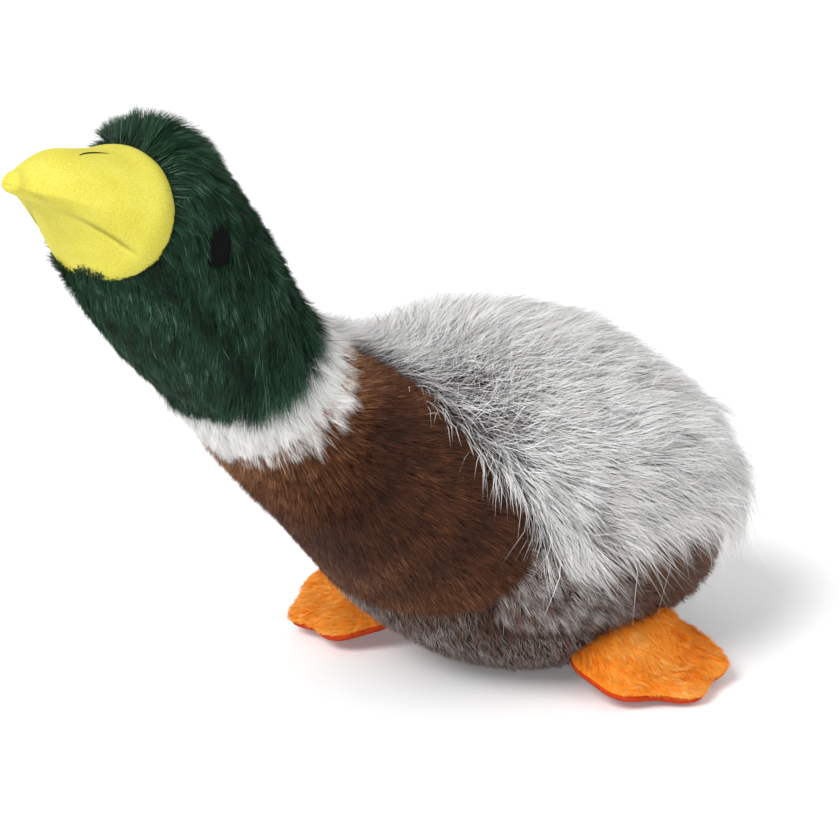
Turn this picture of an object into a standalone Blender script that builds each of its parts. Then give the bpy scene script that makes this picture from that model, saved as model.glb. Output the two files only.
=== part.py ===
"""A stuffed plush duck that sits on its flattened base.

The duck looks along -Y, its left side is +X and +Z is up. The origin lies on the flat underside of
the base, on the duck's middle plane, below the body. Lengths are in metres and angles in degrees.
One closed form runs from the rump through the body and neck to the crown. The cloth panels are
that form less the stuffed core inside it, cut apart along the sewn seams.
"""

import math

import bmesh
import bpy
import numpy as np
from mathutils import Matrix, Vector

# Driving dimensions, taken over the pile.
BODY_LENGTH = 0.190
BODY_WIDTH = 0.158
BODY_HEIGHT = 0.150
NECK_LENGTH = 0.121
NECK_WIDTH = 0.066
BILL_LENGTH = 0.041
BILL_WIDTH = 0.056
BILL_HEIGHT = 0.046
FOOT_LENGTH = 0.058
FOOT_WIDTH = 0.068
FOOT_THICKNESS = 0.012
EYE_WIDTH = 0.011
EYE_HEIGHT = 0.0145
NOSTRIL_LENGTH = 0.013
NOSTRIL_WIDTH = 0.0016

# Cloth, measured through backing and laid pile, and the air left between pieces that touch.
PLUSH_THICKNESS = 0.006
FOOT_PLUSH_THICKNESS = 0.004
SOLE_THICKNESS = 0.0018
BILL_CLOTH_THICKNESS = 0.0015
EMBROIDERY_THICKNESS = 0.0007
SEAM_GAP = 0.0003

# Cutters run past what they cut by this much.
OVERRUN = 0.060

# How the belly settles: its middle would hang this far below the floor if it were not pressed flat,
# the pressed edge rounds off over the next value, and the last is sliced away to leave a true flat.
SAG_DEPTH = 0.005
PRESSED_EDGE = 0.006
BASE_CUT = 0.0005

# Rump to shoulder. Columns: Y over body length, Z over body height, tilt of the section in
# degrees, half width over body width, reach above and reach below over body height.
BODY_STATION_SHARES = (
    (0.474, 0.400, 0.0, 0.076, 0.080, 0.080),
    (0.416, 0.413, 0.0, 0.247, 0.213, 0.253),
    (0.289, 0.447, 0.0, 0.386, 0.333, 0.400),
    (0.116, 0.487, 2.0, 0.481, 0.447, 0.500),
    (-0.105, 0.513, 6.0, 0.500, 0.487, 0.527),
    (-0.305, 0.573, 15.0, 0.456, 0.460, 0.427),
    (-0.484, 0.673, 28.0, 0.367, 0.367, 0.300),
    (-0.637, 0.807, 41.0, 0.278, 0.253, 0.240),
)

# Where the neck leaves the shoulders, and its sections. Columns: distance over neck length, then
# the centre's offset to the nape, half width, reach to the nape and reach to the throat over neck
# width. The last sections sink towards the throat, so the chin juts out under a rounded crown.
NECK_ROOT_Y_SHARE = -0.768
NECK_ROOT_Z_SHARE = 0.947
NECK_PITCH = 50.0
NECK_STATION_SHARES = (
    (0.000, 0.000, 0.515, 0.394, 0.515),
    (0.240, 0.000, 0.470, 0.288, 0.545),
    (0.500, 0.000, 0.515, 0.341, 0.606),
    (0.735, 0.000, 0.503, 0.382, 0.591),
    (0.890, 0.000, 0.426, 0.388, 0.515),
    (0.955, -0.030, 0.283, 0.335, 0.402),
    (1.000, -0.152, 0.145, 0.136, 0.217),
)
RINGS_PER_SPAN = 3
FORM_SEGMENTS = 28

# The white collar lies between two seams across the neck.
COLLAR_LOWER_SHARE = 0.091
COLLAR_UPPER_SHARE = 0.220
COLLAR_LOWER_PITCH = 40.0

# Seams in the side view, as Y over body length and Z over body height. The shoulder seam starts on
# the collar's lower seam and ends below the breast; the hem and the base seam run back from it.
SHOULDER_START_SHARE = 0.181
SHOULDER_SEAM_SHARES = (
    (-0.700, 1.040),
    (-0.642, 1.000),
    (-0.595, 0.947),
    (-0.555, 0.874),
    (-0.520, 0.786),
    (-0.477, 0.680),
    (-0.436, 0.586),
    (-0.421, 0.513),
)
BREAST_CORNER_SHARES = (
    (-0.428, 0.440),
    (-0.449, 0.367),
)
BREAST_HEM_SHARES = (
    (-0.480, 0.316),
    (-0.545, 0.311),
    (-0.621, 0.360),
    (-0.737, 0.440),
)
BACK_HEM_SHARES = (
    (-0.210, 0.533),
    (0.105, 0.507),
    (0.368, 0.467),
    (0.790, 0.427),
)
BASE_SEAM_SHARES = (
    (-0.395, 0.273),
    (-0.310, 0.246),
    (-0.105, 0.214),
    (0.105, 0.200),
    (0.316, 0.220),
    (0.474, 0.280),
    (0.790, 0.367),
)
SEAM_STEPS = 2

# The bill leaves the front of the head below the neck's own line.
BILL_ROOT_SHARE = 0.903
BILL_DROP_SHARE = 0.251
BILL_PITCH = 20.0
BILL_STATION_SHARES = (
    (-0.34, 0.429, 0.474, 0.446),
    (-0.08, 0.497, 0.498, 0.504),
    (0.12, 0.457, 0.433, 0.378),
    (0.32, 0.393, 0.380, 0.222),
    (0.58, 0.275, 0.320, 0.083),
    (0.82, 0.139, 0.178, 0.054),
    (0.95, 0.068, 0.074, 0.048),
)
BILL_SEGMENTS = 24
BILL_TIP_SHARE = 0.05
MOUTH_DROP_SHARE = 0.293
MOUTH_PITCH = 38.0

# Embroidery: eyes on the sides of the head, nostrils on the top of the bill.
EYE_ALONG_SHARE = 0.721
EYE_DROP_SHARE = 0.094
EYE_POINTS = 24
NOSTRIL_ALONG_SHARE = 0.21
NOSTRIL_OUT_SHARE = 0.134
NOSTRIL_POINTS = 6

# Feet: three rounded toes on a padded flap that hangs from the base seam. Each side has its own
# fore and aft place and heading, because the soft flaps hang at unlike angles.
FOOT_TOES = 6
FOOT_TOE_DEPTH_SHARE = 0.16
FOOT_SEGMENTS = 48
FOOT_LIFT_RANGE = 20.0
FOOT_LIFT_STEPS = 5
FOOT_FLOOR_GAP_SHARE = 0.12
FOOT_HINGE_SHARE = 0.22

# Each foot's sewn edge as X over body width and Y over body length, then its heading forward of
# straight sideways, its droop and its roll, in degrees.
LEFT_FOOT = (0.231, 0.012, 14.0, 14.0, 0.0)
RIGHT_FOOT = (0.325, -0.060, 52.0, 15.0, 5.0)
FOOT_RING_SHARES = (
    (0.70, 0.00),
    (0.90, 0.06),
    (1.00, 0.36),
    (0.96, 0.66),
    (0.80, 0.88),
    (0.50, 0.98),
)

# Cloth and stuffing as red, green, blue and roughness.
GREEN_PLUSH = (0.012, 0.070, 0.035, 0.9)
WHITE_PLUSH = (0.85, 0.85, 0.83, 0.9)
BROWN_PLUSH = (0.085, 0.030, 0.015, 0.9)
PALE_LONG_PILE = (0.60, 0.60, 0.61, 0.9)
GREY_PLUSH = (0.13, 0.115, 0.11, 0.9)
YELLOW_VELOUR = (0.87, 0.75, 0.05, 0.8)
ORANGE_PLUSH = (0.90, 0.23, 0.01, 0.9)
RED_VELOUR = (0.55, 0.06, 0.015, 0.8)
BLACK_THREAD = (0.01, 0.01, 0.011, 0.6)
POLYESTER_FILL = (0.80, 0.80, 0.78, 1.0)


def start_scene():
    """Clears the scene's objects and returns the collections for the parts and for the cutters."""
    for obj in list(bpy.data.objects):
        bpy.data.objects.remove(obj)
    made = []
    for name in ("plush_duck", "duck_cutters"):
        group = bpy.data.collections.new(name)
        bpy.context.scene.collection.children.link(group)
        made.append(group)
    return made


PARTS, CUTTERS = start_scene()


def cloth(name, values):
    """A Principled material with the given colour and roughness."""
    made = bpy.data.materials.get(name) or bpy.data.materials.new(name)
    made.use_nodes = True
    shader = made.node_tree.nodes["Principled BSDF"]
    shader.inputs["Base Color"].default_value = (*values[:3], 1.0)
    shader.inputs["Roughness"].default_value = values[3]
    shader.inputs["Metallic"].default_value = 0.0
    made.diffuse_color = (*values[:3], 1.0)
    return made


def add_mesh(name, points, faces, group):
    """An object with these points and faces, smooth shaded, in the collection."""
    mesh = bpy.data.meshes.new(name)
    mesh.from_pydata([tuple(map(float, p)) for p in points], [], faces)
    mesh.validate()
    mesh.shade_smooth()
    obj = bpy.data.objects.new(name, mesh)
    group.objects.link(obj)
    return obj


def outward(obj):
    """Turns a closed mesh's faces outwards."""
    shape = bmesh.new()
    shape.from_mesh(obj.data)
    bmesh.ops.recalc_face_normals(shape, faces=shape.faces)
    shape.to_mesh(obj.data)
    shape.free()
    return obj


def as_cutter(obj):
    """Marks an object as a tool that isn't part of the duck."""
    obj.hide_render = True
    obj.display_type = "WIRE"
    return obj


def smooth_rows(rows, steps):
    """Rows of values with steps - 1 rows added in each gap, on a Catmull-Rom curve through them."""
    rows = np.array(rows, float)
    last = len(rows) - 1
    place = np.linspace(0, last, last * steps + 1)
    start = np.clip(place.astype(int), 0, last - 1)
    t = (place - start)[:, None]
    before, here, there, after = (rows[np.clip(start + k, 0, last)] for k in (-1, 0, 1, 2))
    return 0.5 * (
        2 * here
        + (there - before) * t
        + (2 * before - 5 * here + 4 * there - after) * t**2
        + (3 * here - before - 3 * there + after) * t**3
    )


def loft(name, rings, first_pole, last_pole, group):
    """A closed skin over rings of equal point count, with a point at each end.

    Each four-sided patch is split the same way in every form, so an inner form stays clear of an
    outer one, and the split is mirrored on the second half of each ring.
    """
    count = rings.shape[1]
    points = [*rings.reshape(-1, 3), first_pole, last_pole]
    quarter = count // 4
    faces = []
    for i in range(len(rings) - 1):
        for j in range(count):
            k = (j + 1) % count
            here, there = i * count, (i + 1) * count
            if quarter <= j < count - quarter:
                faces += [(here + j, here + k, there + j), (here + k, there + k, there + j)]
            else:
                faces += [(here + j, here + k, there + k), (here + j, there + k, there + j)]
    tail, crown = len(points) - 2, len(points) - 1
    top = (len(rings) - 1) * count
    for j in range(count):
        k = (j + 1) % count
        faces += [(tail, k, j), (crown, top + j, top + k)]
    return outward(add_mesh(name, points, faces, group))


def neck_axis():
    """Unit direction up the neck, as a vector."""
    pitch = math.radians(NECK_PITCH)
    return Vector((0, -math.cos(pitch), math.sin(pitch)))


def neck_nape():
    """Unit direction from the neck's line to the nape."""
    pitch = math.radians(NECK_PITCH)
    return Vector((0, math.sin(pitch), math.cos(pitch)))


def neck_point(along_share, nape_share=0.0):
    """A point on the duck's middle plane, by shares of neck length and of neck width."""
    root = Vector((0, NECK_ROOT_Y_SHARE * BODY_LENGTH, NECK_ROOT_Z_SHARE * BODY_HEIGHT))
    along = neck_axis() * along_share * NECK_LENGTH
    return root + along + neck_nape() * nape_share * NECK_WIDTH


def form_rows(inset):
    """Sections from rump to crown: Y, Z, tilt, half width, reach above, reach below."""
    rows = []
    for y, z, tilt, wide, above, below in BODY_STATION_SHARES:
        sizes = (wide * BODY_WIDTH, above * BODY_HEIGHT, below * BODY_HEIGHT)
        rows.append([y * BODY_LENGTH, z * BODY_HEIGHT, tilt, *(s - inset for s in sizes)])
    for along, aside, wide, above, below in NECK_STATION_SHARES:
        centre = neck_point(along, aside)
        sizes = (s * NECK_WIDTH - inset for s in (wide, above, below))
        rows.append([centre.y, centre.z, NECK_PITCH, *sizes])
    rows[0][0] -= inset
    rows[-1][0] -= inset * neck_axis().y
    rows[-1][1] -= inset * neck_axis().z
    return rows


def pressed(height, level):
    """Heights above the floor once the belly is pressed on it, for a layer that starts at level."""
    rise = height - level
    lift = (rise + np.sqrt(rise**2 + PRESSED_EDGE**2)) / 2
    least = (math.hypot(SAG_DEPTH, PRESSED_EDGE) - SAG_DEPTH) / 2
    return level + lift - least - BASE_CUT


def duck_form(name, inset, group):
    """The duck's outer form, or the same form that far inside it."""
    rows = smooth_rows(form_rows(inset), RINGS_PER_SPAN)
    turn = 2 * np.pi * (np.arange(FORM_SEGMENTS) + 0.5) / FORM_SEGMENTS
    tilt = np.radians(rows[:, 2])[:, None]
    reach = np.where(np.sin(turn) > 0, rows[:, 4, None], rows[:, 5, None]) * np.sin(turn)
    x = rows[:, 3, None] * np.cos(turn)
    y = rows[:, 0, None] + reach * np.sin(tilt)
    z = pressed(rows[:, 1, None] + reach * np.cos(tilt), inset)
    rings = np.stack([x, y, z], -1)
    poles = []
    for ring, row, way in ((rings[0], rows[0], Vector((0, 1, 0))), (rings[-1], rows[-1], neck_axis())):
        middle = Vector(ring.mean(0))
        poles.append(middle + way * row[3] * 0.25)
    return loft(name, rings, *poles, group)


def cut(obj, tool, operation="DIFFERENCE"):
    """Adds an exact Boolean with the tool."""
    step = obj.modifiers.new(tool.name, "BOOLEAN")
    step.operation = operation
    step.solver = "EXACT"
    step.object = tool
    return obj


def inset_outline(points, distance):
    """A closed outline moved inwards by the distance, corner by corner."""
    count = len(points)
    area = sum(
        points[i].x * points[(i + 1) % count].y - points[(i + 1) % count].x * points[i].y
        for i in range(count)
    )
    side = 1 if area > 0 else -1
    moved = []
    for i, here in enumerate(points):
        before = (here - points[i - 1]).normalized()
        after = (points[(i + 1) % count] - here).normalized()
        inward = (Vector((-before.y, before.x)) + Vector((-after.y, after.x))).normalized() * side
        spread = max(abs(inward.dot(Vector((-before.y, before.x)))), math.sin(math.radians(20)))
        moved.append(here + inward * distance / spread)
    return moved


def prism(name, outline, low, high, lift):
    """A closed prism of the outline between two heights; lift turns (a, b, height) into a point."""
    count = len(outline)
    points = [lift(p.x, p.y, height) for height in (low, high) for p in outline]
    faces = [tuple(range(count)), tuple(range(2 * count - 1, count - 1, -1))]
    for i in range(count):
        j = (i + 1) % count
        faces.append((j, i, count + i, count + j))
    obj = add_mesh(name, points, faces, CUTTERS)
    outward(obj)
    return as_cutter(obj)


def side_prism(name, outline, side="both"):
    """The outline, given as (Y, Z), carried across the duck, or over its left or right half only."""
    reach = BODY_WIDTH / 2 + OVERRUN
    low, high = {
        "both": (-reach, reach),
        "left": (SEAM_GAP / 2, reach),
        "right": (-reach, -SEAM_GAP / 2),
    }[side]
    return prism(name, inset_outline(outline, SEAM_GAP / 2), low, high, lambda a, b, h: (h, a, b))


def flat(point):
    """A point's (Y, Z)."""
    return Vector((point.y, point.z))


def seam(shares):
    """Seam points in metres from shares of the body's length and height."""
    return [Vector((y * BODY_LENGTH, z * BODY_HEIGHT)) for y, z in shares]


def smooth_seam(points):
    """The seam with points added on a smooth curve."""
    return [Vector(p) for p in smooth_rows([tuple(p) for p in points], SEAM_STEPS)]


def regions():
    """Outlines of the cloth panels in the side view, each as (Y, Z) points."""
    up = flat(neck_axis())
    pitch = math.radians(COLLAR_LOWER_PITCH)
    lower_way = Vector((math.sin(pitch), math.cos(pitch)))
    upper_way = flat(neck_nape())
    lower = flat(neck_point(COLLAR_LOWER_SHARE))
    upper = flat(neck_point(COLLAR_UPPER_SHARE))
    far = NECK_WIDTH / 2 + OVERRUN
    start = lower + lower_way * SHOULDER_START_SHARE * NECK_WIDTH
    nape_end, throat_end = lower + lower_way * far, lower - lower_way * far
    shoulder = smooth_seam([start, *seam(SHOULDER_SEAM_SHARES)])
    corner = smooth_seam([shoulder[-1], *seam(BREAST_CORNER_SHARES)])[1:]
    breast_hem = smooth_seam([corner[-1], *seam(BREAST_HEM_SHARES)])[1:]
    back_hem = smooth_seam([shoulder[-1], *seam(BACK_HEM_SHARES)])[1:]
    base_seam = smooth_seam([corner[-1], *seam(BASE_SEAM_SHARES)])[1:]
    sky = BODY_HEIGHT + OVERRUN
    rear = back_hem[-1].x
    front = breast_hem[-1].x - OVERRUN
    crown = far + NECK_LENGTH
    return {
        "head": [
            upper - upper_way * far,
            upper + upper_way * far,
            upper + upper_way * far + up * crown,
            upper - upper_way * far + up * crown,
        ],
        "collar": [throat_end, nape_end, upper + upper_way * far, upper - upper_way * far],
        "breast": [throat_end, *breast_hem[::-1], *corner[::-1], *shoulder[::-1]],
        "back": [nape_end, *shoulder, *back_hem, Vector((rear, sky))],
        "belly": [shoulder[-1], *corner, *base_seam, *back_hem[::-1]],
        "base": [
            Vector((rear, -OVERRUN)),
            *base_seam[::-1],
            corner[-1],
            *breast_hem,
            Vector((front, breast_hem[-1].y)),
            Vector((front, -OVERRUN)),
        ],
    }


def box_cutter(name, low, high):
    """A box between two corners, for cutting."""
    bpy.ops.mesh.primitive_cube_add(size=1)
    obj = bpy.context.active_object
    for group in list(obj.users_collection):
        group.objects.unlink(obj)
    CUTTERS.objects.link(obj)
    obj.name = name
    low, high = Vector(low), Vector(high)
    size = high - low
    place = Matrix.Translation((low + high) / 2) @ Matrix.Diagonal((*size, 1))
    obj.data.transform(place)
    return as_cutter(obj)


def floor_cutter():
    """Everything below the floor."""
    reach = BODY_LENGTH + BODY_WIDTH
    return box_cutter("below_floor", (-reach, -reach, -OVERRUN), (reach, reach, 0))


def panel(name, outline, side, core, floor, values, material_name):
    """A cloth panel: the outer form less the stuffed core, inside its seams."""
    obj = duck_form(name, 0, PARTS)
    cut(obj, side_prism(name + "_seams", outline, side), "INTERSECT")
    cut(obj, core)
    if floor:
        cut(obj, floor)
    obj.data.materials.append(cloth(material_name, values))
    return obj


def make_skin(outlines):
    """The cloth panels of body, collar and head."""
    core = as_cutter(duck_form("core", PLUSH_THICKNESS, CUTTERS))
    floor = floor_cutter()
    panel("back_panel", outlines["back"], "both", core, None, PALE_LONG_PILE, "pale_long_pile")
    panel("base_panel", outlines["base"], "both", core, floor, GREY_PLUSH, "grey_plush")
    panel("neck_collar", outlines["collar"], "both", core, None, WHITE_PLUSH, "white_plush")
    for side in ("left", "right"):
        panel("belly_panel_" + side, outlines["belly"], side, core, None, GREY_PLUSH, "grey_plush")
        panel("breast_panel_" + side, outlines["breast"], side, core, None, BROWN_PLUSH, "brown_plush")
        panel("head_panel_" + side, outlines["head"], side, core, None, GREEN_PLUSH, "green_plush")


def make_stuffing(outlines):
    """The polyester filling in the body, in the neck behind the collar, and in the head."""
    body = [*outlines["breast"][:1], outlines["back"][0]]
    low = outlines["base"][-1]
    rear = outlines["back"][-1]
    body += [rear, Vector((rear.x, low.y)), low, Vector((low.x, outlines["breast"][0].y))]
    for name, outline in (
        ("body_stuffing", body),
        ("neck_stuffing", outlines["collar"]),
        ("head_stuffing", outlines["head"]),
    ):
        obj = duck_form(name, PLUSH_THICKNESS + SEAM_GAP, PARTS)
        cut(obj, side_prism(name + "_ends", outline), "INTERSECT")
        obj.data.materials.append(cloth("polyester_fill", POLYESTER_FILL))


def bill_frame():
    """The bill's root point, its forward direction and its upward direction."""
    pitch = math.radians(BILL_PITCH)
    root = neck_point(BILL_ROOT_SHARE, -BILL_DROP_SHARE)
    forward = Vector((0, -math.cos(pitch), math.sin(pitch)))
    upward = Vector((0, math.sin(pitch), math.cos(pitch)))
    return root, forward, upward


def bill_form(name, inset, group):
    """The bill's padded form from inside the head to its tip, or that far inside it."""
    root, forward, upward = bill_frame()
    rows = []
    for along, wide, above, below in BILL_STATION_SHARES:
        sizes = (wide * BILL_WIDTH, above * BILL_HEIGHT, below * BILL_HEIGHT)
        rows.append([along * BILL_LENGTH, *(s - inset for s in sizes)])
    rows[-1][0] -= inset
    rows = smooth_rows(rows, RINGS_PER_SPAN)
    turn = 2 * np.pi * (np.arange(BILL_SEGMENTS) + 0.5) / BILL_SEGMENTS
    reach = np.where(np.sin(turn) > 0, rows[:, 2, None], rows[:, 3, None]) * np.sin(turn)
    centre = np.array(root) + rows[:, 0, None, None] * np.array(forward)
    rings = centre + reach[..., None] * np.array(upward)
    rings[..., 0] += rows[:, 1, None] * np.cos(turn)
    tip = Vector(rings[-1].mean(0)) + forward * (BILL_TIP_SHARE * BILL_LENGTH)
    return loft(name, rings, Vector(rings[0].mean(0)), tip, group)


def make_bill():
    """The two cloth halves of the bill, sewn along the mouth, and the filling inside them."""
    root, forward, upward = bill_frame()
    head = as_cutter(duck_form("head_clear", -SEAM_GAP, CUTTERS))
    core = as_cutter(bill_form("bill_core", BILL_CLOTH_THICKNESS, CUTTERS))
    pitch = math.radians(MOUTH_PITCH)
    corner = flat(root - Vector((0, 0, MOUTH_DROP_SHARE * BILL_HEIGHT)))
    ahead = Vector((-math.cos(pitch), math.sin(pitch)))
    above = Vector((math.sin(pitch), math.cos(pitch)))
    far = BILL_LENGTH + OVERRUN
    for name, way in (("upper_bill", above), ("lower_bill", -above)):
        outline = [corner - ahead * far, corner + ahead * far]
        outline += [corner + ahead * far + way * far, corner - ahead * far + way * far]
        obj = bill_form(name, 0, PARTS)
        cut(obj, side_prism(name + "_seam", outline), "INTERSECT")
        cut(obj, core)
        cut(obj, head)
        obj.data.materials.append(cloth("yellow_velour", YELLOW_VELOUR))
    obj = bill_form("bill_stuffing", BILL_CLOTH_THICKNESS + SEAM_GAP, PARTS)
    cut(obj, head)
    obj.data.materials.append(cloth("polyester_fill", POLYESTER_FILL))


def oval(centre, half_a, half_b, count):
    """Points of an ellipse round the centre."""
    turns = [2 * math.pi * (i + 0.5) / count for i in range(count)]
    return [centre + Vector((half_a * math.cos(t), half_b * math.sin(t))) for t in turns]


def make_eyes():
    """Satin-stitched eyes that follow the side of the head."""
    centre = flat(neck_point(EYE_ALONG_SHARE, -EYE_DROP_SHARE))
    outline = oval(centre, EYE_WIDTH / 2, EYE_HEIGHT / 2, EYE_POINTS)
    under = as_cutter(duck_form("eye_bed", -SEAM_GAP, CUTTERS))
    for side, sign in (("left", 1), ("right", -1)):
        obj = duck_form("eye_" + side, -SEAM_GAP - EMBROIDERY_THICKNESS, PARTS)
        low, high = sorted((sign * SEAM_GAP, sign * (NECK_WIDTH / 2 + OVERRUN)))
        tool = prism("eye_outline_" + side, outline, low, high, lambda a, b, h: (h, a, b))
        cut(obj, tool, "INTERSECT")
        cut(obj, under)
        obj.data.materials.append(cloth("black_thread", BLACK_THREAD))


def slot_outline(centre, length, width):
    """A round-ended slot that runs fore and aft, as (X, Y) points."""
    straight = (length - width) / 2
    points = []
    for end in (1, -1):
        for i in range(NOSTRIL_POINTS):
            t = math.pi * i / (NOSTRIL_POINTS - 1)
            along = end * (straight + math.sin(t) * width / 2)
            points.append(centre + Vector((end * math.cos(t) * width / 2, along)))
    return points


def make_nostrils():
    """Two stitched strokes beside the ridge of the bill."""
    root, forward, upward = bill_frame()
    under = as_cutter(bill_form("nostril_bed", -SEAM_GAP, CUTTERS))
    mouth = root + forward * NOSTRIL_ALONG_SHARE * BILL_LENGTH
    for side, sign in (("left", 1), ("right", -1)):
        centre = Vector((sign * NOSTRIL_OUT_SHARE * BILL_WIDTH, mouth.y))
        outline = slot_outline(centre, NOSTRIL_LENGTH, NOSTRIL_WIDTH)
        obj = bill_form("nostril_" + side, -SEAM_GAP - EMBROIDERY_THICKNESS, PARTS)
        top = mouth.z + BILL_HEIGHT + OVERRUN
        tool = prism("nostril_outline_" + side, outline, mouth.z, top, lambda a, b, h: (a, b, h))
        cut(obj, tool, "INTERSECT")
        cut(obj, under)
        obj.data.materials.append(cloth("black_thread", BLACK_THREAD))


def foot_place(sign, out_share, y_share, heading, droop, roll):
    """The matrix that sets a foot on its seam beside the body, drooping until its toes rest."""
    reach = FOOT_LENGTH * math.sin(math.radians(droop))
    lift = reach * FOOT_RING_SHARES[1][0] + FOOT_FLOOR_GAP_SHARE * FOOT_THICKNESS
    lift += FOOT_WIDTH / 2 * math.sin(math.radians(roll))
    root = Vector((sign * out_share * BODY_WIDTH, y_share * BODY_LENGTH, lift))
    turn = Matrix.Rotation(math.radians(-heading if sign > 0 else 180 + heading), 4, "Z")
    tip = Matrix.Rotation(math.radians(droop), 4, "Y") @ Matrix.Rotation(math.radians(sign * roll), 4, "X")
    return Matrix.Translation(root) @ turn @ tip @ Matrix.Translation((FOOT_LENGTH / 2, 0, 0))


def foot_form(name, inset, place, group):
    """A domed pad with three toes: rings of one lobed outline, drawn in towards both faces."""
    turn = 2 * np.pi * (np.arange(FOOT_SEGMENTS) + 0.5) / FOOT_SEGMENTS
    toes = (1 - np.cos(FOOT_TOES * turn)) / 2 * ((1 + np.cos(turn)) / 2) ** 1.5
    edge = 1 - FOOT_TOE_DEPTH_SHARE * toes
    rings = []
    for share, height in FOOT_RING_SHARES:
        long = share * (FOOT_LENGTH / 2) - inset
        wide = share * (FOOT_WIDTH / 2) - inset
        rise = inset + height * (FOOT_THICKNESS - 2 * inset)
        x = edge * long * np.cos(turn)
        y = edge * wide * np.sin(turn)
        rings.append(np.stack([x, y, np.full(FOOT_SEGMENTS, rise)], -1))
    rings = np.array(rings)
    under, over = Vector((0, 0, inset)), Vector((0, 0, FOOT_THICKNESS - inset))
    obj = loft(name, rings, under, over, group)
    obj.data.transform(place)
    return obj


def foot_hinge(sign, *where):
    """A point on the sewn edge that the foot swings about, and the direction of that edge."""
    place = foot_place(sign, *where)
    inwards = (FOOT_HINGE_SHARE - 1 / 2) * FOOT_LENGTH
    point = place @ Vector((inwards, 0, FOOT_THICKNESS / 2))
    axis = place.to_3x3() @ Vector((0, -1, 0))
    return point, axis


def make_foot(side, sign, *where):
    """One foot: plush top, velour sole and the thin pad of filling between them."""
    place = foot_place(sign, *where)
    point, axis = foot_hinge(sign, *where)
    clears = []
    for i in range(FOOT_LIFT_STEPS):
        angle = math.radians(FOOT_LIFT_RANGE) * i / (FOOT_LIFT_STEPS - 1)
        swing = Matrix.Translation(point) @ Matrix.Rotation(-angle, 4, axis) @ Matrix.Translation(-point)
        tool = as_cutter(duck_form(f"body_clear_{side}_{i}", -SEAM_GAP, CUTTERS))
        tool.data.transform(swing)
        clears.append(tool)
    reach = FOOT_LENGTH + FOOT_WIDTH
    layers = []
    for name, low, high in (
        ("sole_layer_" + side, -OVERRUN, SOLE_THICKNESS),
        ("pad_layer_" + side, SOLE_THICKNESS + SEAM_GAP, OVERRUN),
    ):
        tool = box_cutter(name, (-reach, -reach, low), (reach, reach, high))
        tool.data.transform(place)
        layers.append(tool)
    core = as_cutter(foot_form("foot_core_" + side, FOOT_PLUSH_THICKNESS, place, CUTTERS))
    sole = foot_form("foot_sole_" + side, 0, place, PARTS)
    cut(sole, layers[0], "INTERSECT")
    top = foot_form("foot_top_" + side, 0, place, PARTS)
    cut(top, layers[1], "INTERSECT")
    cut(top, core)
    pad = foot_form("foot_stuffing_" + side, FOOT_PLUSH_THICKNESS + SEAM_GAP, place, PARTS)
    for obj, name, values in (
        (sole, "red_velour", RED_VELOUR),
        (top, "orange_plush", ORANGE_PLUSH),
        (pad, "polyester_fill", POLYESTER_FILL),
    ):
        for tool in clears:
            cut(obj, tool)
        obj.data.materials.append(cloth(name, values))


def build():
    """Makes every piece of the duck."""
    outlines = regions()
    make_skin(outlines)
    make_stuffing(outlines)
    make_bill()
    make_eyes()
    make_nostrils()
    make_foot("left", 1, *LEFT_FOOT)
    make_foot("right", -1, *RIGHT_FOOT)


build()
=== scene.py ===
import math

import bpy
import numpy as np
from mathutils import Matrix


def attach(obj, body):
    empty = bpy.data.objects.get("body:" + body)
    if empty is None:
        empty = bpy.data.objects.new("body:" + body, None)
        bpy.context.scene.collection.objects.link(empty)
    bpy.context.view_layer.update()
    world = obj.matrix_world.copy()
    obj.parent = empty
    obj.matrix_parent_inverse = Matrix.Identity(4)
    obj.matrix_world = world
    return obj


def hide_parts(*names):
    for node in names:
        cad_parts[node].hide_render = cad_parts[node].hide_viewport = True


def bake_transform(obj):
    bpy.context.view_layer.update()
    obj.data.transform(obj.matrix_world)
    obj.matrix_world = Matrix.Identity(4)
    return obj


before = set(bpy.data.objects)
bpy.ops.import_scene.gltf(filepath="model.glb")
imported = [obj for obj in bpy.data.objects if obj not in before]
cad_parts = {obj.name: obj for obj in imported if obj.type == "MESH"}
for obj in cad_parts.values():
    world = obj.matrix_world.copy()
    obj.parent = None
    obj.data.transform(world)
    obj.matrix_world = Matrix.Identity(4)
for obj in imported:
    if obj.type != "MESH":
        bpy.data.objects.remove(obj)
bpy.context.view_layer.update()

MM = 0.001

# The stuffed form, rump to neck: Y, Z, tilt in degrees, half width, reach above and below, in mm.
TRUNK = (
    (90, 60, 0, 12, 12, 12),
    (79, 62, 0, 39, 32, 38),
    (55, 67, 0, 61, 50, 60),
    (22, 73, 2, 76, 67, 75),
    (-20, 77, 6, 79, 73, 79),
    (-58, 86, 15, 72, 69, 64),
    (-92, 101, 28, 58, 55, 45),
    (-121, 121, 41, 44, 38, 36),
)
# The neck and head: share of the neck's length, offset to the nape, half width, reach to the nape
# and reach to the throat, in mm.
NECK = (
    (0.00, 0, 34, 26, 34),
    (0.24, 0, 31, 19, 36),
    (0.50, 0, 34, 22.5, 40),
    (0.735, 0, 33.2, 25.2, 39),
    (0.89, 0, 28.1, 25.6, 34),
    (0.955, -2, 18.7, 22.1, 26.5),
    (1.00, -10, 9.6, 9, 14.3),
)
NECK_ROOT = np.array((0, -145.92, 142.05)) * MM
NECK_LENGTH = 121 * MM
NECK_WIDTH = 66 * MM
NECK_PITCH = math.radians(50)
UP_NECK = np.array((0, -math.cos(NECK_PITCH), math.sin(NECK_PITCH)))
TO_NAPE = np.array((0, math.sin(NECK_PITCH), math.cos(NECK_PITCH)))
DOWN = np.array((0, 0, -1.0))
PRESSED_EDGE = 6 * MM
SAG = 5 * MM

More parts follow.
